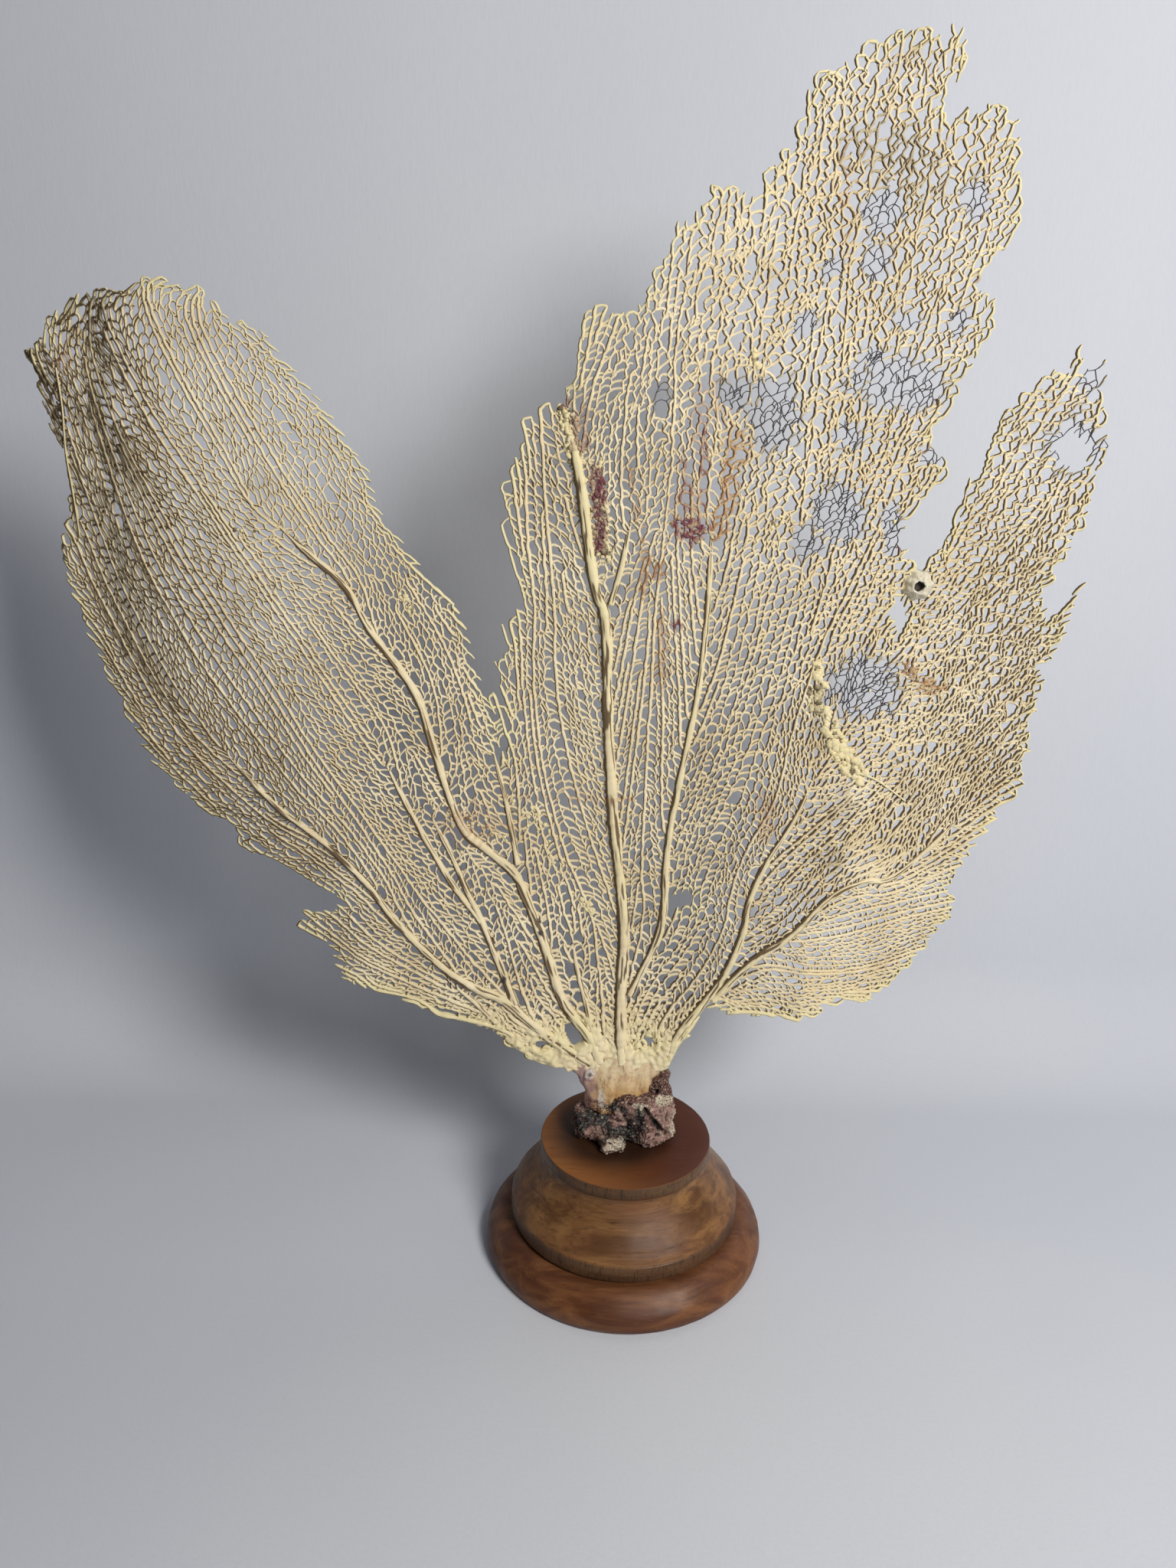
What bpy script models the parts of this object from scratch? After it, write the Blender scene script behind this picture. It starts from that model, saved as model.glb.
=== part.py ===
"""Dried sea fan on a turned wooden stand, in metres, +Z up.

The origin is the centre of the stand's underside. The fan stands in the XZ plane and
faces -Y. Its outlines and ribs are read in photo pixels and carried onto the fan's
curved sheet by photo_to_sheet, so every real size follows from FOOT_RADIUS.
"""
import math
import random

import bmesh
import bpy
from mathutils import Vector, geometry, noise

# Driving dimensions of the stand
FOOT_RADIUS = 0.060
TOP_RADIUS = 0.0362
WAIST_RADIUS = 0.0352
BODY_RADIUS = 0.0490
GROOVE_RADIUS = 0.0476
STAND_HEIGHT = 0.052
LIP_HEIGHT = 0.0055
BODY_BOTTOM = 0.0156
BAND_TOP = 0.0240
FOOT_EDGE = 0.0065
GROOVE_WIDTH = 0.0012
TURNED_SIDES = 40

# Where the photo was taken from, and its frame
PHOTO_WIDTH = 1536
PHOTO_HEIGHT = 2048
FOCAL_PIXELS = 1536.0
EYE = Vector((-0.0182, -0.4251, 0.3639))
EYE_PITCH = math.radians(19.73)
EYE_ROLL = math.radians(0.81)

# Form of the fan's sheet
FORK_HEIGHT = 0.0850
CALM_RISE = 0.090
BOW_DEPTH = 0.010
HALF_SPAN = 0.200
WAVE_DEPTH = 0.0045
WAVE_LENGTH = 0.170
FOLD_X = -0.166
FOLD_WIDTH = 0.050
FOLD_DEPTH = 0.010
FOLD_LOW = 0.200
FOLD_RISE = 0.060
RIM_X = -0.219
RIM_TURN = 0.90
SKIRT_X = 0.070
SKIRT_TOP = 0.190
SKIRT_TURN = 0.45
SHEET_STEPS = 10

# Thickness of the fan, as half of the whole
RIM_HALF = 0.0006
PIT_HALF = 0.0005
NET_HALF = 0.0014
BASE_HALF = 0.0030
BASE_RISE = 0.045
RIB_SHOULDER = 0.0024
RIB_STEP = 0.0115
FORK_GAP = 0.0004
SPLIT_SHIFT = 0.0003

# The coarse net that the sheet carries in relief
NET_FOCUS = (-0.003, 0.060)
NET_ACROSS = 0.0126
NET_ALONG = 0.0166
NET_ROWS = 29
NET_START = 0.030
NET_JITTER = 0.16
EDGE_CLEAR = 0.0034
RIB_CLEAR = 0.0042
TEETH_STEP = 0.0105
TEETH_DEPTH = 0.0011

# Outlines in photo pixels, each from the fork round to the fork
LEFT_EDGE = [
    (742, 1396), (716, 1389), (692, 1380), (668, 1364), (644, 1345), (600, 1330), (541, 1316), (492, 1295), (453, 1283),
    (441, 1259), (423, 1228), (389, 1210), (398, 1190), (441, 1185), (438, 1170), (392, 1148),
    (349, 1121), (312, 1105), (318, 1093), (269, 1063), (233, 1029), (202, 1001), (178, 958),
    (153, 909), (129, 860), (113, 818), (86, 756), (77, 707), (92, 701), (89, 652), (95, 640),
    (80, 590), (62, 540), (46, 481), (28, 462), (50, 448), (67, 446), (55, 420), (80, 401),
    (104, 383), (129, 380), (178, 371), (196, 364), (245, 371), (279, 389), (306, 420),
    (334, 420), (367, 462), (398, 493), (429, 536), (456, 579), (484, 619), (490, 646),
    (508, 683), (530, 714), (545, 732), (588, 775), (603, 805), (618, 848), (625, 879),
    (634, 903), (649, 928)]
CENTRE_EDGE = [
    (661, 960), (657, 926), (646, 912), (650, 891), (642, 868), (650, 859), (665, 840),
    (661, 815), (674, 800), (678, 777), (674, 738), (665, 729), (663, 700), (654, 647),
    (679, 580), (683, 547), (729, 527), (749, 464), (758, 423), (778, 390), (803, 410),
    (828, 406), (849, 365), (874, 323), (878, 290), (907, 282), (923, 249), (944, 236),
    (973, 249), (990, 253), (1006, 216), (1031, 191), (1052, 141), (1064, 108), (1098, 83),
    (1131, 62), (1180, 37), (1255, 37), (1268, 66), (1263, 91), (1234, 133), (1234, 153),
    (1272, 141), (1334, 141), (1330, 199), (1334, 249), (1330, 299), (1313, 332),
    (1280, 365), (1297, 398), (1288, 448), (1259, 489), (1243, 531), (1214, 572),
    (1238, 614), (1222, 647), (1189, 680), (1172, 705), (1193, 738)]
RIGHT_EDGE = [
    (1214, 730), (1247, 680), (1263, 630), (1288, 597), (1305, 547), (1330, 514),
    (1363, 489), (1396, 489), (1408, 452), (1425, 473), (1450, 468), (1442, 506),
    (1450, 580), (1437, 622), (1421, 672), (1396, 721), (1363, 771), (1363, 813),
    (1396, 779), (1419, 752), (1404, 796), (1379, 854), (1355, 912), (1342, 978),
    (1330, 1028), (1288, 1086), (1260, 1124), (1237, 1156), (1248, 1172), (1242, 1192),
    (1224, 1215), (1210, 1236), (1182, 1264), (1143, 1300), (1123, 1312), (1091, 1305),
    (1061, 1328), (996, 1328), (955, 1326), (920, 1315), (907, 1338), (886, 1366), (872, 1396)]
LEFT_SPLIT = [(656, 985), (664, 1030), (705, 1100), (742, 1170), (775, 1245), (790, 1300),
              (793, 1340), (795, 1396)]
RIGHT_SPLIT = [(1203, 744), (1172, 762), (1146, 790), (1098, 838), (1048, 885), (1035, 950),
               (1010, 1020), (982, 1090), (944, 1180), (904, 1270), (874, 1335), (860, 1396)]

# Ribs in photo pixels, from the fork outwards, with their half thickness at both ends
LEFT_RIBS = [
    ([(772, 1388), (751, 1375), (728, 1361), (705, 1343), (683, 1326), (662, 1305), (611, 1287), (563, 1251),
      (509, 1195), (476, 1147), (415, 1092), (356, 1050), (300, 990)], 0.0038, 0.0016),
    ([(672, 1310), (649, 1251), (621, 1188), (593, 1124), (565, 1070)], 0.0028, 0.0015),
    ([(628, 1204), (578, 1139), (530, 1050), (505, 1000)], 0.0022, 0.0014),
    ([(784, 1386), (772, 1356), (750, 1328), (733, 1308), (713, 1237), (683, 1162), (672, 1137), (634, 1108),
      (604, 1088), (582, 1026), (560, 958), (545, 903), (478, 818), (453, 763), (398, 720),
      (367, 689)], 0.0038, 0.0018),
    ([(676, 1128), (662, 1050), (645, 985)], 0.0022, 0.0014),
    ([(648, 1334), (622, 1308), (585, 1280)], 0.0022, 0.0014),
    ([(782, 1368), (771, 1337), (763, 1300), (754, 1269), (748, 1230)], 0.0024, 0.0014)]
CENTRE_RIBS = [
    ([(812, 1388), (809, 1319), (815, 1237), (815, 1200), (808, 1130), (800, 1060),
      (793, 930), (793, 800), (776, 775), (760, 640), (745, 560)], 0.0042, 0.0027),
    ([(798, 790), (812, 740), (824, 680)], 0.0020, 0.0014),
    ([(822, 1300), (854, 1239), (867, 1200), (870, 1105), (891, 1000), (915, 891),
      (925, 780), (929, 700)], 0.0028, 0.0015)]
RIGHT_RIBS = [
    ([(868, 1388), (882, 1352), (906, 1324), (944, 1280), (973, 1213), (976, 1179), (1001, 1124),
      (1033, 1080), (1060, 1020)], 0.0036, 0.0015),
    ([(930, 1306), (992, 1245), (1031, 1227), (1081, 1170), (1130, 1147), (1159, 1152),
      (1210, 1110), (1250, 1070)], 0.0030, 0.0015)]

# True holes in photo pixels: centre, half width, half height
LEFT_HOLES = [((751, 1348), 15, 16), ((708, 1363), 12, 6)]
CENTRE_HOLES = [((846, 1361), 11, 8), ((890, 1177), 14, 12)]
RIGHT_HOLES = [((1400, 589), 20, 18), ((1174, 804), 8, 19)]
HOLE_SIDES = 7

# The yellow crust that is grown over the right lobe, in photo pixels
CRUST_LINE = [(1062, 880), (1078, 930), (1105, 965), (1122, 1008)]
CRUST_REACH = 0.0060
CRUST_HALF = 0.0026

# Trunk and holdfast
TRUNK_LOW = 0.0700
TRUNK_LOW_X = -0.0036
TRUNK_TOP_X = -0.0055
TRUNK_SIDES = 16
TRUNK_LEVELS = 7
TRUNK_FLUTES = 5
TRUNK_FLUTE_DEPTH = 0.0007
TRUNK_FOOT_HALF = (0.0137, 0.0060)
TRUNK_TOP_HALF = (0.0196, 0.0044)
STAND_GAP = 0.0004

# Lumps of the holdfast: centre, half sizes, roughness and seed. The first is the maroon
# block at the right, then the core under the trunk, the dark lump at the left, the pale
# crust in front, the crumbling ledge at the right and the ledge on the trunk's front
ROOT_LUMPS = [
    ((0.0098, -0.0005, 0.0625), (0.0108, 0.0098, 0.0125), 0.22, 3.0),
    ((-0.0020, 0.0030, 0.0615), (0.0130, 0.0090, 0.0115), 0.25, 5.0),
    ((-0.0118, 0.0005, 0.0585), (0.0100, 0.0078, 0.0080), 0.30, 9.0),
    ((-0.0060, -0.0100, 0.0552), (0.0056, 0.0048, 0.0042), 0.28, 13.0),
    ((0.0135, 0.0010, 0.0755), (0.0042, 0.0056, 0.0080), 0.35, 17.0),
    ((0.0010, -0.0062, 0.0700), (0.0075, 0.0035, 0.0055), 0.30, 21.0)]

# Barnacle on the net, read at photo pixel 1197, 763
BARNACLE_PIXEL = (1197, 763)
BARNACLE_BASE = 0.0058
BARNACLE_MOUTH = 0.0022
BARNACLE_TALL = 0.0040
BARNACLE_PIT = 0.0018
BARNACLE_SIDES = 14
BARNACLE_CLEAR = 0.0005


def smooth(value):
    """Ease from 0 to 1."""
    value = min(max(value, 0.0), 1.0)
    return value * value * (3.0 - 2.0 * value)


def make_material(name, colour, roughness, metallic=0.0):
    """A plain Principled material."""
    material = bpy.data.materials.new(name)
    material.use_nodes = True
    shader = material.node_tree.nodes["Principled BSDF"]
    shader.inputs["Base Color"].default_value = (*colour, 1.0)
    shader.inputs["Roughness"].default_value = roughness
    shader.inputs["Metallic"].default_value = metallic
    return material


def add_object(name, vertices, faces, material, smooth_angle=None):
    """One named object from a list of vertices and faces."""
    mesh = bpy.data.meshes.new(name)
    mesh.from_pydata(vertices, [], faces)
    mesh.update()
    if smooth_angle is not None:
        mesh.shade_smooth()
        mesh.set_sharp_from_angle(angle=math.radians(smooth_angle))
    thing = bpy.data.objects.new(name, mesh)
    bpy.context.scene.collection.objects.link(thing)
    thing.data.materials.append(material)
    return thing


def clear_scene():
    """Remove whatever the file opened with."""
    for thing in list(bpy.data.objects):
        bpy.data.objects.remove(thing, do_unlink=True)


def sheet_depth(x, z):
    """Y of the fan's middle surface above the place x, z."""
    calm = smooth((z - FORK_HEIGHT) / CALM_RISE)
    bow = BOW_DEPTH * (x / HALF_SPAN) ** 2
    wave = WAVE_DEPTH * math.sin(2.0 * math.pi * (x + 0.35 * z) / WAVE_LENGTH)
    fold = FOLD_DEPTH * smooth((FOLD_X - x) / FOLD_WIDTH) + RIM_TURN * max(0.0, RIM_X - x)
    fold *= smooth((z - FOLD_LOW) / FOLD_RISE)
    skirt = SKIRT_TURN * max(0.0, x - SKIRT_X) * smooth((SKIRT_TOP - z) / CALM_RISE)
    return calm * (bow + wave) + fold + skirt


def photo_ray(u, v):
    """Direction from the eye through a photo pixel."""
    forward = Vector((0.0, math.cos(EYE_PITCH), -math.sin(EYE_PITCH)))
    level_up = Vector((0.0, math.sin(EYE_PITCH), math.cos(EYE_PITCH)))
    level_right = Vector((1.0, 0.0, 0.0))
    right = level_right * math.cos(EYE_ROLL) + level_up * math.sin(EYE_ROLL)
    up = level_up * math.cos(EYE_ROLL) - level_right * math.sin(EYE_ROLL)
    across = (u - PHOTO_WIDTH / 2) / FOCAL_PIXELS
    rise = (PHOTO_HEIGHT / 2 - v) / FOCAL_PIXELS
    return forward + right * across + up * rise


def photo_to_sheet(pixel):
    """The place x, z on the fan's sheet that a photo pixel shows."""
    ray = photo_ray(*pixel)
    depth = 0.0
    for _ in range(SHEET_STEPS):
        place = EYE + ray * ((depth - EYE.y) / ray.y)
        depth = 0.5 * depth + 0.5 * sheet_depth(place.x, place.z)
    return Vector((place.x, place.z))


def line_to_sheet(pixels):
    """A line of photo pixels as places on the sheet."""
    return [photo_to_sheet(pixel) for pixel in pixels]


def resample(line, step):
    """Points along an open line, about one step apart, ends kept."""
    points = [line[0]]
    for start, end in zip(line, line[1:]):
        parts = max(1, round((end - start).length / step))
        points += [start.lerp(end, part / parts) for part in range(1, parts + 1)]
    return points


def ragged(line, draw):
    """A torn edge: extra points between the line's own, in and out by turns."""
    points = [line[0]]
    for start, end in zip(line, line[1:]):
        parts = max(1, round((end - start).length / TEETH_STEP))
        along = (end - start).normalized()
        outward = Vector((along.y, -along.x))
        for part in range(1, parts):
            side = 1.0 if part % 2 else -1.0
            shift = outward * side * TEETH_DEPTH * draw.uniform(0.5, 1.4)
            points.append(start.lerp(end, part / parts) + shift)
        points.append(end)
    return points


def inside(point, ring):
    """Whether a place lies inside a closed ring."""
    odd = False
    previous = ring[-1]
    for corner in ring:
        if (corner.y > point.y) != (previous.y > point.y):
            slope = (previous.x - corner.x) / (previous.y - corner.y)
            if point.x < corner.x + slope * (point.y - corner.y):
                odd = not odd
        previous = corner
    return odd


def distance_to_line(point, line, closed=False):
    """Shortest distance from a place to a line."""
    ends = line[1:] + line[:1] if closed else line[1:]
    best = 1.0
    for start, end in zip(line, ends):
        run = end - start
        if run.length_squared == 0.0:
            continue
        share = min(max((point - start).dot(run) / run.length_squared, 0.0), 1.0)
        best = min(best, (point - start - run * share).length)
    return best


def net_lattice():
    """Centres of the coarse net's cells, in rows round the focus, and their corners."""
    draw = random.Random(11)
    focus = Vector(NET_FOCUS)
    centres = []
    for row in range(NET_ROWS):
        reach = NET_START + row * NET_ALONG
        count = round(math.pi * 1.15 * reach / NET_ACROSS)
        for column in range(count):
            turn = (column + 0.5 * (row % 2) + draw.uniform(-NET_JITTER, NET_JITTER)) / count
            angle = math.pi * (1.075 - 1.15 * turn)
            far = reach + NET_ALONG * draw.uniform(-NET_JITTER, NET_JITTER)
            centres.append(focus + Vector((math.cos(angle), math.sin(angle))) * far)
    found = geometry.delaunay_2d_cdt(centres, [], [], 0, 1e-7, False)
    corners = [(found[0][a] + found[0][b] + found[0][c]) / 3.0 for a, b, c in found[2]]
    return centres, corners


def rib_relief(line, low_half, high_half):
    """A rib's points: its crest and both shoulders, each with its half thickness."""
    crest = resample(line_to_sheet(line), RIB_STEP)
    points = []
    last = len(crest) - 1
    for index, point in enumerate(crest):
        along = (crest[min(index + 1, last)] - crest[max(index - 1, 0)]).normalized()
        across = Vector((along.y, -along.x))
        half = low_half + (high_half - low_half) * (index / last) ** 0.6
        shoulder = RIB_SHOULDER * (0.55 + 0.45 * half / low_half)
        points.append((point, half))
        points.append((point + across * shoulder, NET_HALF))
        points.append((point - across * shoulder, NET_HALF))
    return crest, points


def base_half(point):
    """Extra half thickness of the crust near the fork."""
    return (BASE_HALF - NET_HALF) * (1.0 - smooth((point.y - FORK_HEIGHT) / BASE_RISE))


def crust_half(point, crust):
    """Extra half thickness on the grown-over patch."""
    near = 1.0 - smooth(distance_to_line(point, crust) / CRUST_REACH)
    return CRUST_HALF * near


def hole_ring(centre, half_width, half_height, draw):
    """A torn hole's ring of places."""
    ring = []
    for corner in range(HOLE_SIDES):
        angle = 2.0 * math.pi * corner / HOLE_SIDES
        grow = draw.uniform(0.85, 1.2)
        pixel = (centre[0] + half_width * grow * math.cos(angle),
                 centre[1] + half_height * grow * math.sin(angle))
        ring.append(photo_to_sheet(pixel))
    return ring


def lobe_points(ring, holes, ribs, lattice):
    """All places of a lobe with their half thickness, and the edges to keep."""
    crust = line_to_sheet(CRUST_LINE)
    places = []
    keep = []
    for loop in [ring] + holes:
        first = len(places)
        places += [(point, RIM_HALF + base_half(point)) for point in loop]
        keep += [(first + step, first + (step + 1) % len(loop)) for step in range(len(loop))]
    crests = []
    for line, low_half, high_half in ribs:
        crest, points = rib_relief(line, low_half, high_half)
        crests.append(crest)
        taken = [place for place, _ in places]
        for point, half in points:
            near_edge = min(distance_to_line(point, loop, True) for loop in [ring] + holes)
            near_point = min((point - place).length for place in taken)
            if inside(point, ring) and near_edge > 0.0012 and near_point > 0.0017:
                places.append((point, half + 0.5 * base_half(point)))
    for group, level in ((lattice[0], PIT_HALF), (lattice[1], NET_HALF)):
        for point in group:
            if not inside(point, ring) or any(inside(point, hole) for hole in holes):
                continue
            if min(distance_to_line(point, loop, True) for loop in [ring] + holes) < EDGE_CLEAR:
                continue
            if min(distance_to_line(point, crest) for crest in crests) < RIB_CLEAR:
                continue
            places.append((point, level + base_half(point) + crust_half(point, crust)))
    return places, keep


def add_lobe(name, ring, holes, ribs, lattice, material):
    """One lobe: a thin curved sheet with its ribs and coarse net in relief."""
    places, keep = lobe_points(ring, holes, ribs, lattice)
    flat = [place for place, _ in places]
    found = geometry.delaunay_2d_cdt(flat, keep, [], 0, 1e-7, True)
    source = [origin[0] for origin in found[3]]
    triangles = []
    for a, b, c in found[2]:
        middle = (found[0][a] + found[0][b] + found[0][c]) / 3.0
        if inside(middle, ring) and not any(inside(middle, hole) for hole in holes):
            triangles.append((a, b, c))
    count = len(found[0])
    vertices = []
    for side in (-1.0, 1.0):
        for place, origin in zip(found[0], source):
            depth = sheet_depth(place.x, place.y) + side * places[origin][1]
            vertices.append((place.x, depth, place.y))
    faces = [(a, b, c) for a, b, c in triangles]
    faces += [(c + count, b + count, a + count) for a, b, c in triangles]
    directed = set()
    for a, b, c in triangles:
        directed.update([(a, b), (b, c), (c, a)])
    for a, b in sorted(directed):
        if (b, a) not in directed:
            faces.append((b, a, a + count))
            faces.append((b, a + count, b + count))
    return add_object(name, vertices, faces, material)


def shifted(line, shift):
    """The same line moved along X, for the gap at a split."""
    return [point + Vector((shift, 0.0)) for point in line]


def above_fork(ring):
    """The ring with nothing below the fork's level."""
    floor = FORK_HEIGHT + FORK_GAP
    return [Vector((point.x, max(point.y, floor))) for point in ring]


def tidy_ring(ring):
    """The ring without points that have fallen together."""
    kept = []
    for point in ring:
        if not kept or (point - kept[-1]).length > 0.0008:
            kept.append(point)
    if (kept[0] - kept[-1]).length < 0.0008:
        kept.pop()
    return kept


def fan_lobes(material):
    """The three lobes, each closed along its splits."""
    draw = random.Random(7)
    lattice = net_lattice()
    left_split = resample(line_to_sheet(LEFT_SPLIT), 0.014)
    right_split = resample(line_to_sheet(RIGHT_SPLIT), 0.014)
    left_ring = ragged(line_to_sheet(LEFT_EDGE), draw) + shifted(left_split, -SPLIT_SHIFT)
    centre_ring = shifted(left_split[::-1], SPLIT_SHIFT)
    centre_ring += ragged(line_to_sheet(CENTRE_EDGE), draw) + shifted(right_split, -SPLIT_SHIFT)
    right_ring = shifted(right_split[::-1], SPLIT_SHIFT)
    right_ring += ragged(line_to_sheet(RIGHT_EDGE), draw)
    lobes = (("left_lobe", left_ring, LEFT_HOLES, LEFT_RIBS),
             ("centre_lobe", centre_ring, CENTRE_HOLES, CENTRE_RIBS),
             ("right_lobe", right_ring, RIGHT_HOLES, RIGHT_RIBS))
    for name, ring, holes, ribs in lobes:
        hole_rings = [hole_ring(*hole, draw) for hole in holes]
        add_lobe(name, tidy_ring(above_fork(ring)), hole_rings, ribs, lattice, material)


def stand_profile():
    """Radius and height of the turned stand, from the underside's rim to the top's rim."""
    shoulder = BAND_TOP + 0.0035
    flare_top = STAND_HEIGHT - LIP_HEIGHT - 0.0010
    profile = [(FOOT_RADIUS - 0.0016, 0.0), (FOOT_RADIUS - 0.0004, 0.0012)]
    profile += [(FOOT_RADIUS, 0.0032), (FOOT_RADIUS - 0.0002, FOOT_EDGE - 0.0012)]
    for step in range(1, 5):
        share = step / 4
        radius = FOOT_RADIUS - (FOOT_RADIUS - BODY_RADIUS) * share
        rise = math.sin(share * math.pi / 2) * (BODY_BOTTOM - FOOT_EDGE)
        profile.append((radius, FOOT_EDGE + rise))
    profile.append((GROOVE_RADIUS, BODY_BOTTOM))
    profile.append((GROOVE_RADIUS, BODY_BOTTOM + GROOVE_WIDTH))
    profile.append((BODY_RADIUS, BODY_BOTTOM + GROOVE_WIDTH + 0.0006))
    profile.append((BODY_RADIUS, BAND_TOP))
    profile.append((BODY_RADIUS - 0.0008, BAND_TOP + 0.0020))
    for step in range(6):
        share = step / 5
        radius = WAIST_RADIUS + (BODY_RADIUS - 0.0022 - WAIST_RADIUS) * (1.0 - share) ** 1.6
        profile.append((radius, shoulder + (flare_top - shoulder) * share ** 0.85))
    profile.append((TOP_RADIUS - 0.0003, flare_top + 0.0010))
    profile.append((TOP_RADIUS, flare_top + 0.0016))
    profile.append((TOP_RADIUS, STAND_HEIGHT - 0.0006))
    profile.append((TOP_RADIUS - 0.0006, STAND_HEIGHT))
    return profile


def add_turned_stand(material):
    """The stand, turned about Z, closed flat underneath and on top."""
    profile = stand_profile()
    vertices = []
    for radius, height in profile:
        for side in range(TURNED_SIDES):
            angle = 2.0 * math.pi * side / TURNED_SIDES
            vertices.append((radius * math.cos(angle), radius * math.sin(angle), height))
    faces = []
    for level in range(len(profile) - 1):
        for side in range(TURNED_SIDES):
            low = level * TURNED_SIDES
            following = (side + 1) % TURNED_SIDES
            faces.append((low + side, low + following, low + TURNED_SIDES + following,
                          low + TURNED_SIDES + side))
    top = (len(profile) - 1) * TURNED_SIDES
    faces.append(tuple(reversed(range(TURNED_SIDES))))
    faces.append(tuple(range(top, top + TURNED_SIDES)))
    return add_object("turned_stand", vertices, faces, material, 35.0)


def trunk_mesh(extra):
    """Vertices and faces of the stem, a fluted flat column that widens up to the fork."""
    vertices = []
    for level in range(TRUNK_LEVELS):
        share = level / (TRUNK_LEVELS - 1)
        height = TRUNK_LOW - extra + (FORK_HEIGHT - TRUNK_LOW + 2.0 * extra) * share
        spread = share ** 2.0
        middle = TRUNK_LOW_X + (TRUNK_TOP_X - TRUNK_LOW_X) * spread
        wide = TRUNK_FOOT_HALF[0] + (TRUNK_TOP_HALF[0] - TRUNK_FOOT_HALF[0]) * spread
        deep = TRUNK_FOOT_HALF[1] + (TRUNK_TOP_HALF[1] - TRUNK_FOOT_HALF[1]) * share
        for side in range(TRUNK_SIDES):
            angle = 2.0 * math.pi * side / TRUNK_SIDES
            flute = extra + TRUNK_FLUTE_DEPTH * math.cos(TRUNK_FLUTES * angle + 2.0 * share)
            vertices.append((middle + (wide + flute) * math.cos(angle),
                             (deep + flute) * math.sin(angle), height))
    faces = []
    for level in range(TRUNK_LEVELS - 1):
        for side in range(TRUNK_SIDES):
            low = level * TRUNK_SIDES
            following = (side + 1) % TRUNK_SIDES
            faces.append((low + side, low + following, low + TRUNK_SIDES + following,
                          low + TRUNK_SIDES + side))
    top = (TRUNK_LEVELS - 1) * TRUNK_SIDES
    faces.append(tuple(reversed(range(TRUNK_SIDES))))
    faces.append(tuple(range(top, top + TRUNK_SIDES)))
    return vertices, faces


def add_trunk(material):
    """The stem between the holdfast and the fork."""
    return add_object("trunk", *trunk_mesh(0.0), material, 40.0)


def add_lump(name, centre, half_sizes, roughness, seed, subdivisions=2):
    """A rocky lump: an icosphere squared a little and pushed in and out."""
    shape = bmesh.new()
    bmesh.ops.create_icosphere(shape, subdivisions=subdivisions, radius=1.0)
    for vertex in shape.verts:
        direction = vertex.co.normalized()
        square = max(abs(direction.x), abs(direction.y), abs(direction.z)) ** 0.45
        push = 1.0 + roughness * noise.noise(direction * 1.9 + Vector((seed, 0.0, 0.0)))
        scaled = direction / square * push
        vertex.co = Vector((centre[0] + scaled.x * half_sizes[0],
                            centre[1] + scaled.y * half_sizes[1],
                            centre[2] + scaled.z * half_sizes[2]))
    mesh = bpy.data.meshes.new(name)
    shape.to_mesh(mesh)
    shape.free()
    lump = bpy.data.objects.new(name, mesh)
    bpy.context.scene.collection.objects.link(lump)
    return lump


def add_holdfast(material):
    """The encrusted root block: lumps joined in one solid, cut flat on the stand's top."""
    floor = STAND_HEIGHT + STAND_GAP
    body = add_lump("holdfast", *ROOT_LUMPS[0])
    for number, values in enumerate(ROOT_LUMPS[1:]):
        other = add_lump(f"lump_{number}", *values)
        join_solid(body, other, "UNION")
    bpy.ops.mesh.primitive_cube_add(size=0.1, location=(0.0, 0.0, floor - 0.050))
    join_solid(body, bpy.context.active_object, "DIFFERENCE")
    socket = add_object("socket", *trunk_mesh(STAND_GAP), material)
    join_solid(body, socket, "DIFFERENCE")
    body.data.materials.clear()
    body.data.materials.append(material)
    return body


def join_solid(body, other, operation):
    """Apply one exact Boolean to the body and remove the other solid."""
    step = body.modifiers.new("join", "BOOLEAN")
    step.object = other
    step.operation = operation
    step.solver = "EXACT"
    graph = bpy.context.evaluated_depsgraph_get()
    graph.update()
    mesh = bpy.data.meshes.new_from_object(body.evaluated_get(graph))
    body.modifiers.remove(step)
    body.data = mesh
    bpy.data.objects.remove(other, do_unlink=True)


def add_barnacle(material):
    """A small crater-shaped shell that stands on the front of the net."""
    place = photo_to_sheet(BARNACLE_PIXEL)
    front = sheet_depth(place.x, place.y) - NET_HALF - BARNACLE_CLEAR
    rings = ((BARNACLE_BASE, 0.0), (BARNACLE_BASE * 0.86, BARNACLE_TALL * 0.45),
             (BARNACLE_MOUTH * 1.35, BARNACLE_TALL), (BARNACLE_MOUTH, BARNACLE_TALL * 0.94),
             (BARNACLE_MOUTH * 0.7, BARNACLE_TALL - BARNACLE_PIT))
    vertices = []
    for radius, tall in rings:
        for side in range(BARNACLE_SIDES):
            angle = 2.0 * math.pi * side / BARNACLE_SIDES
            ridge = radius * (1.0 + 0.07 * (-1.0) ** side)
            vertices.append((place.x + ridge * math.cos(angle), front - tall,
                             place.y + ridge * math.sin(angle)))
    faces = []
    for level in range(len(rings) - 1):
        for side in range(BARNACLE_SIDES):
            low = level * BARNACLE_SIDES
            following = (side + 1) % BARNACLE_SIDES
            faces.append((low + side, low + following, low + BARNACLE_SIDES + following,
                          low + BARNACLE_SIDES + side))
    top = (len(rings) - 1) * BARNACLE_SIDES
    faces.append(tuple(reversed(range(BARNACLE_SIDES))))
    faces.append(tuple(range(top, top + BARNACLE_SIDES)))
    return add_object("barnacle", vertices, faces, material, 50.0)


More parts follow.
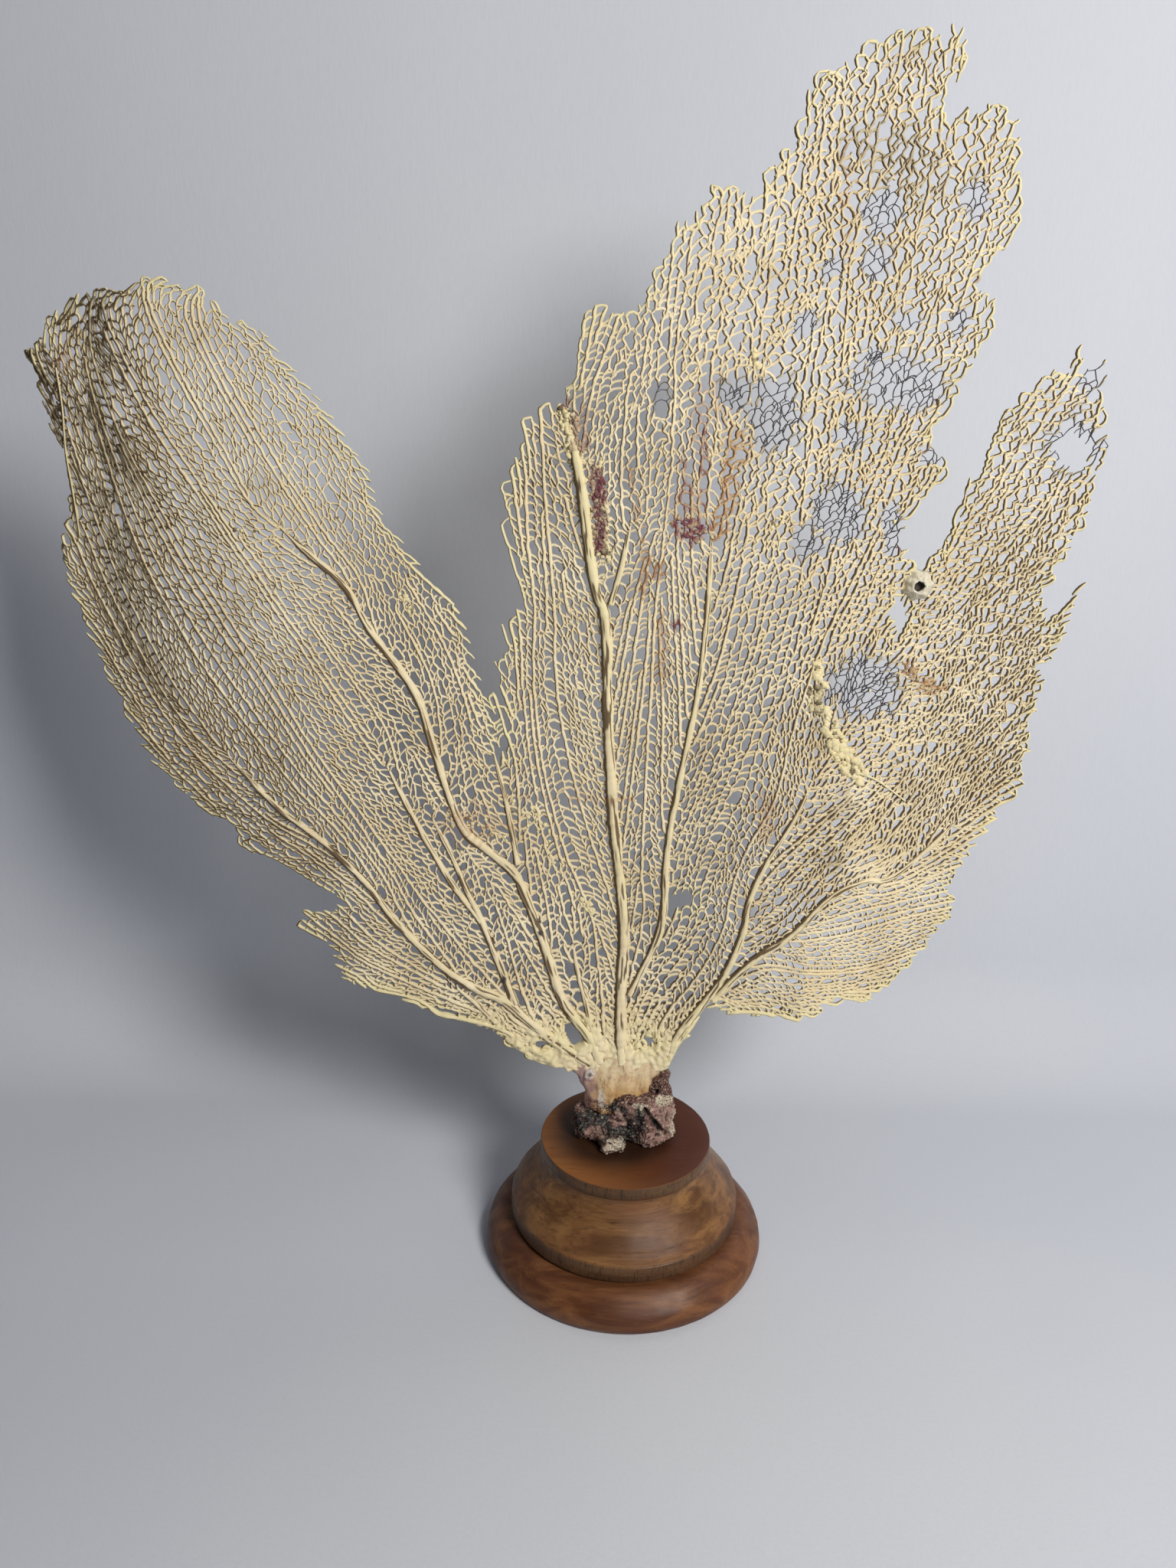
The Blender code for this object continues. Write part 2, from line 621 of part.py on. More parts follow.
def main():
    """Build every piece."""
    clear_scene()
    wood = make_material("turned_wood", (0.160, 0.070, 0.030), 0.42)
    net = make_material("dried_net", (0.700, 0.610, 0.360), 0.85)
    stem = make_material("ochre_stem", (0.640, 0.460, 0.220), 0.80)
    crust = make_material("maroon_crust", (0.170, 0.070, 0.070), 0.90)
    shell = make_material("pale_shell", (0.680, 0.620, 0.480), 0.75)
    add_turned_stand(wood)
    add_holdfast(crust)
    add_trunk(stem)
    fan_lobes(net)
    add_barnacle(shell)


main()
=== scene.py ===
import math
import random

import bmesh
import bpy
import numpy as np
from mathutils import Matrix, Vector, noise


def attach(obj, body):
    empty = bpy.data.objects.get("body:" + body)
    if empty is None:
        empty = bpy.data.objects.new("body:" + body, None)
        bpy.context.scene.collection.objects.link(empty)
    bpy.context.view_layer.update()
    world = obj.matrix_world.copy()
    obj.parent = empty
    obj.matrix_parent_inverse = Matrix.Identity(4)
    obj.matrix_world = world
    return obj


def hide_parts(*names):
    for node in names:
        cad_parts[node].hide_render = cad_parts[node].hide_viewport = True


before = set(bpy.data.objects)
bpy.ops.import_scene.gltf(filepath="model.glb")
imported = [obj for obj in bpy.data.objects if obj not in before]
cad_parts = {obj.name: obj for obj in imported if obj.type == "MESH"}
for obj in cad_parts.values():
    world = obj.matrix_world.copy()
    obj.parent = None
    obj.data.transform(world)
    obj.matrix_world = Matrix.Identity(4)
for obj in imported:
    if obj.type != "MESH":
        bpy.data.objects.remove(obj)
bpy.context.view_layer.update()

# The photo's camera
PHOTO_WIDTH = 1536
PHOTO_HEIGHT = 2048
FOCAL_PIXELS = 1536.0
LENS = 27.0
SENSOR = 36.0
EYE = np.array((-0.0182, -0.4251, 0.3639))
EYE_PITCH = math.radians(19.73)
EYE_ROLL = math.radians(0.81)
SHEET_STEPS = 10
SLOPE_STEP = 0.0005

# Form of the fan's sheet, as in the frame
FORK_HEIGHT = 0.0850
CALM_RISE = 0.090
BOW_DEPTH = 0.010
HALF_SPAN = 0.200
WAVE_DEPTH = 0.0045
WAVE_LENGTH = 0.170
FOLD_X = -0.166
FOLD_WIDTH = 0.050
FOLD_DEPTH = 0.010
FOLD_LOW = 0.200
FOLD_RISE = 0.060
RIM_X = -0.219
RIM_TURN = 0.90
SKIRT_X = 0.070
SKIRT_TOP = 0.190
SKIRT_TURN = 0.45
RIPPLE_DEPTH = 0.0007
RIPPLE_SIZE = 0.011

# Grid over the fan's x, z plane
GRID_LEFT = -0.240
GRID_RIGHT = 0.172
GRID_LOW = 0.078
GRID_TOP = 0.474
GRID_STEP = 0.0015
LOBES = ("left_lobe", "centre_lobe", "right_lobe")
FRONT_FACING = -0.05
SPLIT_REACH = 0.0011
BORDER_RISE = 0.0010

# Ribs in photo pixels, from the fork outwards, with their half thickness at both ends
LEFT_RIBS = [
    ([(772, 1388), (751, 1375), (728, 1361), (705, 1343), (683, 1326), (662, 1305), (611, 1287), (563, 1251),
      (509, 1195), (476, 1147), (415, 1092), (356, 1050), (300, 990)], 0.0038, 0.0016),
    ([(672, 1310), (649, 1251), (621, 1188), (593, 1124), (565, 1070)], 0.0028, 0.0015),
    ([(628, 1204), (578, 1139), (530, 1050), (505, 1000)], 0.0022, 0.0014),
    ([(784, 1386), (772, 1356), (750, 1328), (733, 1308), (713, 1237), (683, 1162), (672, 1137), (634, 1108),
      (604, 1088), (582, 1026), (560, 958), (545, 903), (478, 818), (453, 763), (398, 720),
      (367, 689)], 0.0038, 0.0018),
    ([(676, 1128), (662, 1050), (645, 985)], 0.0022, 0.0014),
    ([(648, 1334), (622, 1308), (585, 1280)], 0.0022, 0.0014),
    ([(782, 1368), (771, 1337), (763, 1300), (754, 1269), (748, 1230)], 0.0024, 0.0014)]
CENTRE_RIBS = [
    ([(812, 1388), (809, 1319), (815, 1237), (815, 1200), (808, 1130), (800, 1060),
      (793, 930), (793, 800), (776, 775), (760, 640), (745, 560)], 0.0042, 0.0027),
    ([(798, 790), (812, 740), (824, 680)], 0.0020, 0.0014),
    ([(822, 1300), (854, 1239), (867, 1200), (870, 1105), (891, 1000), (915, 891),
      (925, 780), (929, 700)], 0.0028, 0.0015)]
RIGHT_RIBS = [
    ([(868, 1388), (882, 1352), (906, 1324), (944, 1280), (973, 1213), (976, 1179), (1001, 1124),
      (1033, 1080), (1060, 1020)], 0.0036, 0.0015),
    ([(930, 1306), (992, 1245), (1031, 1227), (1081, 1170), (1130, 1147), (1159, 1152),
      (1210, 1110), (1250, 1070)], 0.0030, 0.0015)]
RIB_WIDE_LOW = 0.70
RIB_WIDE_HIGH = 0.74
RIB_DEEP = 0.80
RIB_TAPER = 0.6
RIB_TIP = 0.012
RIB_STEP = 0.0010
RIB_MESH_STEP = 0.0008
RIB_SIDES = 24
GROOVE_COUNT = 2.4
GROOVE_LENGTH = 0.012
GROOVE_SHARE = 0.20

# Lines between the ribs that the strands follow too, in photo pixels
GROWTH_LINES = [
    [(668, 1364), (600, 1320), (530, 1290), (460, 1255), (400, 1200)],
    [(300, 990), (230, 900), (175, 800), (130, 700), (100, 600), (70, 500)],
    [(367, 689), (330, 640), (290, 570), (250, 500), (215, 430), (190, 375)],
    [(470, 960), (400, 850), (330, 740), (270, 640), (200, 540), (150, 440), (120, 380)],
    [(96, 398), (135, 374), (175, 360), (212, 358)],
    [(656, 985), (640, 920), (600, 830), (540, 740), (480, 640), (420, 540), (340, 440)],
    [(790, 1280), (760, 1180), (720, 1080), (690, 980), (680, 880), (690, 780), (690, 650), (700, 560)],
    [(760, 640), (750, 540), (790, 430)],
    [(860, 900), (862, 760), (866, 640), (870, 500), (880, 380), (900, 290)],
    [(925, 780), (940, 650), (960, 520), (985, 400), (1000, 300), (1010, 220)],
    [(1035, 880), (1060, 760), (1090, 620), (1110, 480), (1130, 340), (1150, 200), (1170, 60)],
    [(1010, 1020), (1050, 880), (1100, 780), (1150, 680), (1200, 560), (1250, 450), (1290, 330)],
    [(1060, 1020), (1090, 930), (1130, 850), (1180, 780), (1230, 720), (1290, 640), (1340, 560), (1400, 490)],
    [(1060, 1020), (1120, 930), (1190, 850), (1260, 770), (1340, 690), (1400, 600), (1440, 520)],
    [(1033, 1080), (1120, 1010), (1210, 930), (1290, 850), (1370, 790)],
    [(1031, 1227), (1090, 1220), (1150, 1200), (1230, 1180)],
    [(992, 1245), (1060, 1260), (1120, 1260), (1180, 1240)],
    [(906, 1324), (980, 1300), (1060, 1305), (1130, 1300)]]
GUIDE_STEP = 0.0030
GUIDE_SOFT = 0.006
RIB_SPREAD = 0.30
RIB_SPREAD_REACH = 0.010
EDGE_SPREAD = 0.30
EDGE_SPREAD_REACH = 0.009
LEFT_EDGE_SPREAD = -0.35
LEFT_EDGE_X = -0.050
LEFT_FULL_X = -0.120
RIB_ROOM = 0.45

# Net: spacing of the strands and of the links along them
STRAND_STEP = 0.0006
STRAND_GAP = 0.00258
LINK_GAP = 0.0030
STOP_SHARE = 0.68
SEED_SHARE = 0.93
TIP_SHARE = 0.20
TIP_REACH = 0.0018
TIP_LEAST = 0.0004
EDGE_MARGINS = (-0.0004, 0.0010)
SEED_MARGIN = 0.0002
FILL_STEP = 0.0015
LOW_JOIN_DEPTH = 0.0022
HIGH_JOIN_DEPTH = 0.0030
HIGH_JOINS = (0.45, 0.85)
LINK_WINDOW = 0.00045
LINK_LEAST = 0.0002
LINK_REACH = 2.4
LEAST_SLANT = 0.60
MOST_SLANT = 1.50
TURNED_LINKS = 0.15
DROPPED_LINKS = 0.10
DROP_REACH = 0.003
SPUR_SHARE = 0.07
SPUR_REACH = 0.55
LONGEST_STRAND = 900
SHORTEST_STRAND = 5
CELL = 0.0020
RING_EVERY = 2
ZIGZAG = 0.00034
MAIN_SHARE = 0.30
MAIN_SIZE = 1.22
MINOR_SIZE = 0.90
MAIN_SWAY = 0.6
MINOR_SWAY = 1.6
ZIGZAG_REACH = 0.0011
LOOSE_SWAY = 1.0
LOOSE_BREAK = 0.030
LOOSE_TURN = 0.36
LOOSE_SIZE = 0.0065
TUBE_SIDES = 6
LINK_SIDES = 4
STRAND_HALF = 0.00062
STRAND_DEEP = 0.00095
DEEP_SHARE = STRAND_DEEP / STRAND_HALF
BARE_HALF = 0.00020
LINK_THIN = 0.90
LINK_SHARES = (0.0, 0.30, 0.70, 1.0)
LINK_FLARE = (1.32, 1.0, 1.0, 1.32)
SPUR_FLARE = (1.32, 1.0, 0.85, 0.60)
LINK_DEEP = (0.90, 0.85, 0.85, 0.90)
SPUR_TIP = 0.0003
LINK_ARCH = 0.40
LINK_SAG = 0.06
# Painted shade on the net: the flank of each strand and link that faces these directions is darkened, one
# direction for the middle and right, one turned towards the front in the left lobe, with extra shade towards
# the right side
SHADED_SIDE = np.array((-0.97, 0.22, 0.0))
RIGHT_SHADE = 0.16
LEFT_SHADED_SIDE = np.array((-0.90, -0.22, -0.36))
PIECE_HEIGHTS = (0.255, 0.285, 0.235)
VALUE_NAMES = ("bare", "maroon", "amber", "brown", "crust", "edge", "tone", "flank")
BARE, BROWN_SHARE, CRUST, EDGE, FLANK = 0, 3, 4, 5, 7

# Ranges in which an area of the net begins, each its start and its reach
DENSE_BASE = (0.092, 0.048)
THICK_BASE = (0.092, 0.045)
YELLOW_BASE = (0.088, 0.030)
RIGHT_SIDE = (0.035, 0.050)
RIGHT_TOP = (0.280, 0.090)
TOP_LOW = (0.330, 0.070)
TOP_SIDE = (0.020, 0.040)
LEFT_SIDE = (0.055, 0.040)
LONG_LEFT_LOW = (0.220, 0.050)
DENSE_RIM_SIDE = (0.213, 0.006)
DENSE_RIM_LOW = (0.330, 0.015)
LOOSE_TOP_LOW = (0.270, 0.070)
LOOSE_TOP_SIDE = (-0.030, 0.060)
LOOSE_RIGHT_LOW = (0.190, 0.050)
LOOSE_RIGHT_SIDE = (0.060, 0.035)
THIN_SKIRT_SIDE = (0.030, 0.040)
THIN_SKIRT_TOP = (0.150, 0.040)
# Where the extra painted shade on the right side begins, and the range over which the painted flank shade
# turns dark
RIGHT_SHADE_START = (0.020, 0.050)
FLANK_RANGE = (0.10, 0.45)
PALE_EDGE = 0.007

# Crust that closes the net round the fork
CRUST_STEP = 0.0006
CRUST_LEFT = -0.066
CRUST_RIGHT = 0.060
CRUST_TOP = 0.150
CRUST_HALF = 0.0027
CRUST_RISE = 0.0210
CRUST_SUNK = 0.0024
CRUST_BY_RIB = 0.0032
CRUST_EDGE = 0.0012

# Trunk and holdfast, as in the frame, with the zones of their stains in photo pixels
TRUNK_LOW = 0.0700
TRUNK_LOW_X = -0.0036
TRUNK_TOP_X = -0.0055
TRUNK_FOOT_HALF = (0.0137, 0.0060)
TRUNK_TOP_HALF = (0.0196, 0.0044)
TRUNK_SIDES = 110
TRUNK_LEVELS = 56
TRUNK_SUNK = 0.0040
TRUNK_RAISED = 0.0060
STEM_NAMES = ("pink", "maroon", "tone", "pale", "pit", "high")
STAND_GAP = 0.0004
ROOT_LUMPS = [
    ((0.0098, -0.0005, 0.0625), (0.0108, 0.0098, 0.0125), 0.22, 3.0),
    ((-0.0020, 0.0030, 0.0615), (0.0130, 0.0090, 0.0115), 0.25, 5.0),
    ((-0.0118, 0.0005, 0.0585), (0.0100, 0.0078, 0.0080), 0.30, 9.0),
    ((-0.0060, -0.0100, 0.0552), (0.0056, 0.0048, 0.0042), 0.28, 13.0),
    ((0.0135, 0.0010, 0.0755), (0.0042, 0.0056, 0.0080), 0.35, 17.0),
    ((0.0010, -0.0062, 0.0700), (0.0075, 0.0035, 0.0055), 0.30, 21.0)]
ROOT_VOXEL = 0.00050
SLIT = ((843, 1452), (862, 1477), 4.5)
STEM_PALE_ZONES = [(770, 1403, 6, 7, 1.0), (785, 1435, 5, 13, 0.9)]
STEM_PIT_ZONES = [(771, 1404, 2.6, 3.0, 1.0)]
RED_ZONES = [(815, 1428, 24, 15, 1.0), (866, 1420, 14, 28, 0.9), (872, 1500, 14, 6, 0.5)]
BLACK_ZONES = [(788, 1464, 38, 24, 1.0), (818, 1480, 16, 20, 1.0), (835, 1463, 8, 20, 1.0)]
PINK_ZONES = [(806, 1462, 12, 11, 1.0), (778, 1479, 13, 10, 1.0), (858, 1490, 26, 12, 1.0),
              (868, 1455, 18, 16, 1.0)]
PALE_ZONES = [(806, 1496, 14, 11, 1.0), (882, 1478, 6, 26, 1.0), (836, 1446, 12, 5, 1.0),
              (866, 1438, 10, 8, 1.0)]
ROOT_STAINS = ((BLACK_ZONES, 0.35, 0.35), (PINK_ZONES, 0.30, 0.30), (PALE_ZONES, 0.40, 0.40),
               (RED_ZONES, 0.40, 0.35))

# Turned stand, as in the frame. WOOD_BANDS are the heights between which its looks change:
# foot, band above the groove, shoulder, waist below the lip, lip and flat top.
FOOT_RADIUS = 0.060
TOP_RADIUS = 0.0362
WAIST_RADIUS = 0.0352
BODY_RADIUS = 0.0490
GROOVE_RADIUS = 0.0476
STAND_HEIGHT = 0.052
LIP_HEIGHT = 0.0055
BODY_BOTTOM = 0.0156
BAND_TOP = 0.0240
FOOT_EDGE = 0.0065
GROOVE_WIDTH = 0.0012
TURNED_SIDES = 200
ROUND_STEPS = 12
FLARE_STEPS = 24
TOP_RINGS = (0.030, 0.022, 0.014, 0.006)
STAIN_CENTRE = (-0.006, 0.003)
WOOD_BANDS = ((0.0172, 0.0150), (0.0158, 0.0166), (0.0250, 0.0232), (0.0436, 0.0476),
              (0.0519, 0.0514), (0.0516, 0.0519))

# Barnacle on the net, at photo pixel 1197, 763
BARNACLE_PIXEL = (1197, 763)
BARNACLE_BASE = 0.0058
BARNACLE_MOUTH = 0.0019
BARNACLE_TALL = 0.0040
BARNACLE_PIT = 0.0022
BARNACLE_SIDES = 60
BARNACLE_RINGS = 12
PIT_RINGS = 5

# Zones of the photo, each a centre, half sizes and a strength, in photo pixels.
# The table after the brown zones says how far two noises fray the edges of the zones.
BARE_ZONES = [
    (1154, 276, 28, 32, 1.0), (1146, 340, 23, 23, 1.0), (1275, 258, 23, 29, 1.0), (1087, 352, 14, 14, 1.0),
    (1175, 499, 67, 35, 1.0), (1140, 469, 20, 15, 1.0), (1011, 540, 35, 47, 1.0), (958, 516, 20, 23, 1.0),
    (1105, 572, 20, 20, 1.0), (1093, 672, 38, 44, 1.0), (1052, 712, 22, 20, 1.0), (1163, 692, 16, 36, 1.0),
    (1052, 422, 18, 16, 1.0), (1251, 422, 13, 22, 1.0), (1187, 422, 20, 16, 1.0), (864, 522, 12, 22, 1.0),
    (1427, 487, 22, 25, 1.0), (1404, 581, 38, 38, 1.0), (1222, 592, 15, 12, 1.0), (1129, 896, 48, 40, 1.0)]
MAROON_ZONES = [
    (780, 640, 12, 40, 1.0), (785, 694, 10, 36, 1.0), (759, 562, 11, 40, 0.65), (740, 524, 7, 10, 0.8),
    (902, 692, 24, 18, 1.0), (918, 600, 6, 70, 0.85), (895, 640, 9, 34, 0.75), (882, 817, 8, 8, 1.0),
    (912, 560, 10, 50, 0.5),
    (1172, 717, 11, 8, 0.8), (1280, 365, 8, 7, 0.8), (1210, 588, 8, 8, 0.7)]
AMBER_ZONES = [
    (952, 640, 13, 44, 0.85), (938, 684, 12, 22, 0.85), (962, 590, 16, 36, 0.60), (825, 620, 5, 26, 0.8),
    (832, 665, 7, 24, 0.6), (840, 736, 9, 36, 0.85), (856, 748, 12, 12, 0.9), (864, 850, 9, 50, 0.6),
    (898, 668, 26, 40, 0.45), (940, 520, 22, 40, 0.35),
    (1188, 876, 12, 12, 0.75), (1216, 896, 18, 11, 0.75), (612, 1076, 44, 24, 0.40), (700, 1040, 44, 4, 0.45),
    (780, 1043, 60, 3, 0.45), (1046, 690, 24, 14, 0.35), (1110, 250, 12, 60, 0.30), (1000, 1065, 12, 36, 0.4),
    (84, 474, 14, 14, 0.45)]
# Brown stain zones; the ones along the left fold band and on the folded-back sliver at the far left also hold
# painted shade, where the folded sheet turns away from the light
BROWN_STAIN_AND_FOLD_SHADE_ZONES = [
    (1160, 195, 66, 38, 0.50), (120, 386, 12, 16, 0.85), (128, 430, 14, 46, 0.62), (136, 510, 14, 60, 0.52),
    (148, 610, 13, 64, 0.42), (160, 700, 12, 60, 0.25), (57, 506, 19, 46, 1.0), (70, 566, 18, 60, 1.0),
    (1085, 1120, 20, 14, 0.4), (1190, 240, 60, 30, 0.30), (1068, 940, 10, 60, 0.35),
    (1098, 1052, 20, 30, 0.30)]
STAIN_AND_SHADE_ZONES = ((BARE_ZONES, 0.45, 0.45), (MAROON_ZONES, 0.45, 0.45), (AMBER_ZONES, 0.50, 0.80),
          (BROWN_STAIN_AND_FOLD_SHADE_ZONES, 0.60, 0.50))
YELLOW_ZONES = [
    (925, 900, 60, 240, 0.4), (960, 1220, 80, 100, 0.4),
    (770, 650, 40, 140, 0.9), (800, 860, 16, 90, 0.5), (808, 1130, 12, 60, 0.5)]
ZONE_FULL = 1.12
ZONE_FADE = 0.30
BLACK_SPOTS = [
    (658, 1280, 3, 4, 1.0), (706, 1202, 3, 3, 1.0), (706, 1219, 3, 3, 1.0), (776, 912, 4, 4, 0.8),
    (364, 672, 7, 7, 1.0), (802, 1180, 3, 5, 0.8), (1078, 860, 4, 4, 0.8)]

# Crust and crumbs grown on the net: a line in photo pixels, its half width, lumps and their half size
NET_CRUSTS = [
    ([(1066, 868), (1072, 892), (1066, 915), (1078, 940)], 8, 46, 5.5),
    ([(1084, 950), (1094, 972), (1106, 994), (1122, 1010)], 12, 80, 6.0),
    ([(1060, 905), (1072, 930)], 12, 20, 4.5),
    ([(982, 455), (990, 484)], 4, 12, 4.0),
    ([(766, 1176), (774, 1200)], 6, 16, 4.0),
    ([(672, 1040), (700, 1070), (735, 1130)], 16, 42, 3.2),
    ([(575, 1060), (650, 1092)], 18, 40, 3.0),
    ([(777, 606), (784, 660), (788, 724)], 11, 190, 3.4),
    ([(888, 680), (920, 700)], 14, 60, 3.2),
    ([(744, 534), (762, 600)], 9, 44, 3.0),
    ([(733, 532), (742, 575), (760, 628)], 6, 80, 4.2),
    ([(780, 680), (980, 1240)], 110, 50, 2.6),
    ([(1060, 260), (1180, 860)], 80, 30, 2.6),
    ([(330, 620), (600, 1180)], 90, 50, 2.8),
    ([(1100, 1060), (1260, 900)], 80, 30, 2.8),
    ([(1180, 868), (1196, 884)], 7, 16, 3.2),
    ([(1204, 890), (1230, 904)], 7, 18, 3.2),
    ([(1000, 680), (1040, 690)], 10, 14, 2.6),
    ([(520, 770), (540, 800)], 7, 18, 3.2),
    ([(738, 1320), (760, 1340)], 10, 20, 4.5),
    ([(842, 1340), (866, 1352)], 8, 16, 4.5)]
THREADS = [[(1118, 1008), (1142, 1016), (1164, 1032), (1182, 1046)],
           [(75, 480), (82, 526), (86, 580), (96, 640), (104, 700)]]
RIMS = [[(78, 500), (84, 560), (92, 620), (102, 690)]]
PIXEL_SIZE = 0.00030
DARK_CRUMBS = 0.16
CRUMB_FORM = (1.0, 0.75, 1.0)
THREAD_HALF = 0.00042

# Colours of the net
CREAM = (0.750, 0.622, 0.385)
PALE_CREAM = (0.855, 0.748, 0.515)
TAN = (0.400, 0.290, 0.155)
TIP_YELLOW = (0.800, 0.710, 0.400)
CRUST_YELLOW = (0.780, 0.670, 0.400)
# Painted shade on the strands' flank away from the light
FLANK_SHADE = (0.118, 0.070, 0.034)
BARE_DARK = (0.060, 0.052, 0.054)
MAROON = (0.190, 0.062, 0.078)
AMBER = (0.330, 0.150, 0.058)
BROWN = (0.100, 0.068, 0.036)

# Colours of the stem, the root and the barnacle
OCHRE = (0.540, 0.320, 0.120)
PALE_OCHRE = (0.700, 0.480, 0.230)
STEM_CREAM = (0.660, 0.525, 0.320)
STEM_MOTTLE = (0.470, 0.250, 0.150)
STEM_FIBRE = (0.300, 0.150, 0.075)
STEM_PINK = (0.330, 0.190, 0.220)
STEM_MAROON = (0.110, 0.030, 0.025)
STEM_PALE = (0.640, 0.580, 0.520)
STEM_PIT = (0.150, 0.130, 0.120)
ROOT_DARK = (0.115, 0.042, 0.034)
ROOT_LIGHT = (0.280, 0.140, 0.112)
ROOT_PINK = (0.400, 0.230, 0.190)
ROOT_SPECK = (0.520, 0.400, 0.310)
ROOT_RED = (0.085, 0.020, 0.014)
ROOT_SHADE = (0.045, 0.018, 0.015)
ROOT_BLACK = (0.012, 0.012, 0.013)
ROOT_PIT_SHADE = (0.035, 0.018, 0.016)
ROOT_PALE = (0.690, 0.610, 0.460)
SHELL_DARK = (0.560, 0.500, 0.370)
SHELL_LIGHT = (0.860, 0.810, 0.660)
SHELL_PIT_SHADE = (0.050, 0.040, 0.032)

# Colours of the stand and the backdrop
WOOD_DARK = (0.105, 0.045, 0.016)
WOOD_LIGHT = (0.275, 0.135, 0.048)
WOOD_CLOUD = (0.165, 0.060, 0.024)
WOOD_LINE = (0.085, 0.036, 0.015)
FOOT_DARK = (0.085, 0.026, 0.012)
FOOT_LIGHT = (0.200, 0.075, 0.028)
BAND_DARK = (0.058, 0.030, 0.015)
LIP_DARK = (0.066, 0.038, 0.019)
WORN_DARK = (0.030, 0.015, 0.009)
TOP_LIGHT = (0.290, 0.112, 0.032)
TOP_DARK = (0.085, 0.024, 0.011)
TOP_STREAK = (0.110, 0.038, 0.016)
TOP_STAIN = (0.012, 0.006, 0.004)
PORE_DARK = (0.030, 0.014, 0.008)
PAPER_DARK = (0.612, 0.636, 0.690)
PAPER_LIGHT = (0.662, 0.684, 0.732)
PAPER_WEAVE = (0.50, 0.52, 0.57)

# Backdrop and lights, each a name, a position, a size, a power and a colour
WALL_Y = 0.150
WALL_BEND = 0.060
BACKDROP_REACH = 1.6
BACKDROP_HALF = 1.8
LIGHT_TARGET = (0.0, 0.0, 0.20)
LIGHTS = [("key", (0.480, -0.710, 0.76), 0.32, 9.6, (1.0, 0.975, 0.94)),
          ("fill", (0.70, -1.00, 0.40), 1.0, 0.9, (0.95, 0.97, 1.0))]
ROOM_COLOUR = (0.80, 0.86, 1.0, 1.0)
ROOM_STRENGTH = 0.088


def smooth(value):
    """Ease from 0 to 1."""
    value = np.clip(value, 0.0, 1.0)
    return value * value * (3.0 - 2.0 * value)


def ramp(value, start, reach):
    """Ease from 0 at the start to 1 at the end of the reach."""
    return smooth((value - start) / reach)


def unit_rows(rows, spare=1e-12):
    """Rows scaled to length 1; the spare keeps rows of zeros finite."""
    return rows / (np.linalg.norm(rows, axis=1)[:, None] + spare)


def sheet_depth(x, z):
    """Y of the fan's middle surface above the place x, z."""
    calm = smooth((z - FORK_HEIGHT) / CALM_RISE)
    bow = BOW_DEPTH * (x / HALF_SPAN) ** 2
    wave = WAVE_DEPTH * np.sin(2.0 * math.pi * (x + 0.35 * z) / WAVE_LENGTH)
    fold = FOLD_DEPTH * smooth((FOLD_X - x) / FOLD_WIDTH) + RIM_TURN * np.maximum(0.0, RIM_X - x)
    fold = fold * smooth((z - FOLD_LOW) / FOLD_RISE)
    skirt = SKIRT_TURN * np.maximum(0.0, x - SKIRT_X) * smooth((SKIRT_TOP - z) / CALM_RISE)
    return calm * (bow + wave) + fold + skirt


def ripple(x, z):
    """Small buckles of the dried sheet."""
    first = np.sin(x / RIPPLE_SIZE + 1.7 * np.sin(z / RIPPLE_SIZE * 0.61))
    second = np.sin(z / RIPPLE_SIZE * 1.13 + 1.3 * np.sin(x / RIPPLE_SIZE * 0.47 + 2.0))
    return RIPPLE_DEPTH * first * second


def net_points(places):
    """Points in space, and the normals there, of places x, z on the rippled sheet."""
    x = places[:, 0]
    z = places[:, 1]
    depth = sheet_depth(x, z) + ripple(x, z)
    slope_x = (sheet_depth(x + SLOPE_STEP, z) - sheet_depth(x - SLOPE_STEP, z)) / (2.0 * SLOPE_STEP)
    slope_z = (sheet_depth(x, z + SLOPE_STEP) - sheet_depth(x, z - SLOPE_STEP)) / (2.0 * SLOPE_STEP)
    normals = unit_rows(np.stack((-slope_x, np.ones(len(x)), -slope_z), 1), 0.0)
    return np.stack((x, depth, z), 1), normals


def camera_axes():
    """Right, up and forward of the photo's camera."""
    forward = np.array((0.0, math.cos(EYE_PITCH), -math.sin(EYE_PITCH)))
    level_up = np.array((0.0, math.sin(EYE_PITCH), math.cos(EYE_PITCH)))
    level_right = np.array((1.0, 0.0, 0.0))
    right = level_right * math.cos(EYE_ROLL) + level_up * math.sin(EYE_ROLL)
    up = level_up * math.cos(EYE_ROLL) - level_right * math.sin(EYE_ROLL)
    return right, up, forward


def photo_to_sheet(pixels):
    """The places x, z on the fan's sheet that photo pixels show."""
    right, up, forward = camera_axes()
    pixels = np.array(pixels, float).reshape(-1, 2)
    across = (pixels[:, 0:1] - PHOTO_WIDTH / 2) / FOCAL_PIXELS
    rise = (PHOTO_HEIGHT / 2 - pixels[:, 1:2]) / FOCAL_PIXELS
    ray = forward + right * across + up * rise
    depth = np.zeros(len(pixels))
    for _ in range(SHEET_STEPS):
        reach = (depth - EYE[1]) / ray[:, 1]
        x = EYE[0] + ray[:, 0] * reach
        z = EYE[2] + ray[:, 2] * reach
        depth = 0.5 * depth + 0.5 * sheet_depth(x, z)
    return np.stack((x, z), 1)


def to_photo(points):
    """Photo pixels of points in space."""
    right, up, forward = camera_axes()
    offset = points - EYE
    far = offset @ forward
    u = PHOTO_WIDTH / 2 + FOCAL_PIXELS * (offset @ right) / far
    v = PHOTO_HEIGHT / 2 - FOCAL_PIXELS * (offset @ up) / far
    return u, v


def wobble(points, size, seed):
    """Smooth noise from -1 to 1 at each point."""
    shift = Vector((seed, 2.0 * seed, 0.0))
    return np.array([noise.noise(Vector(point) / size + shift) for point in points.tolist()])


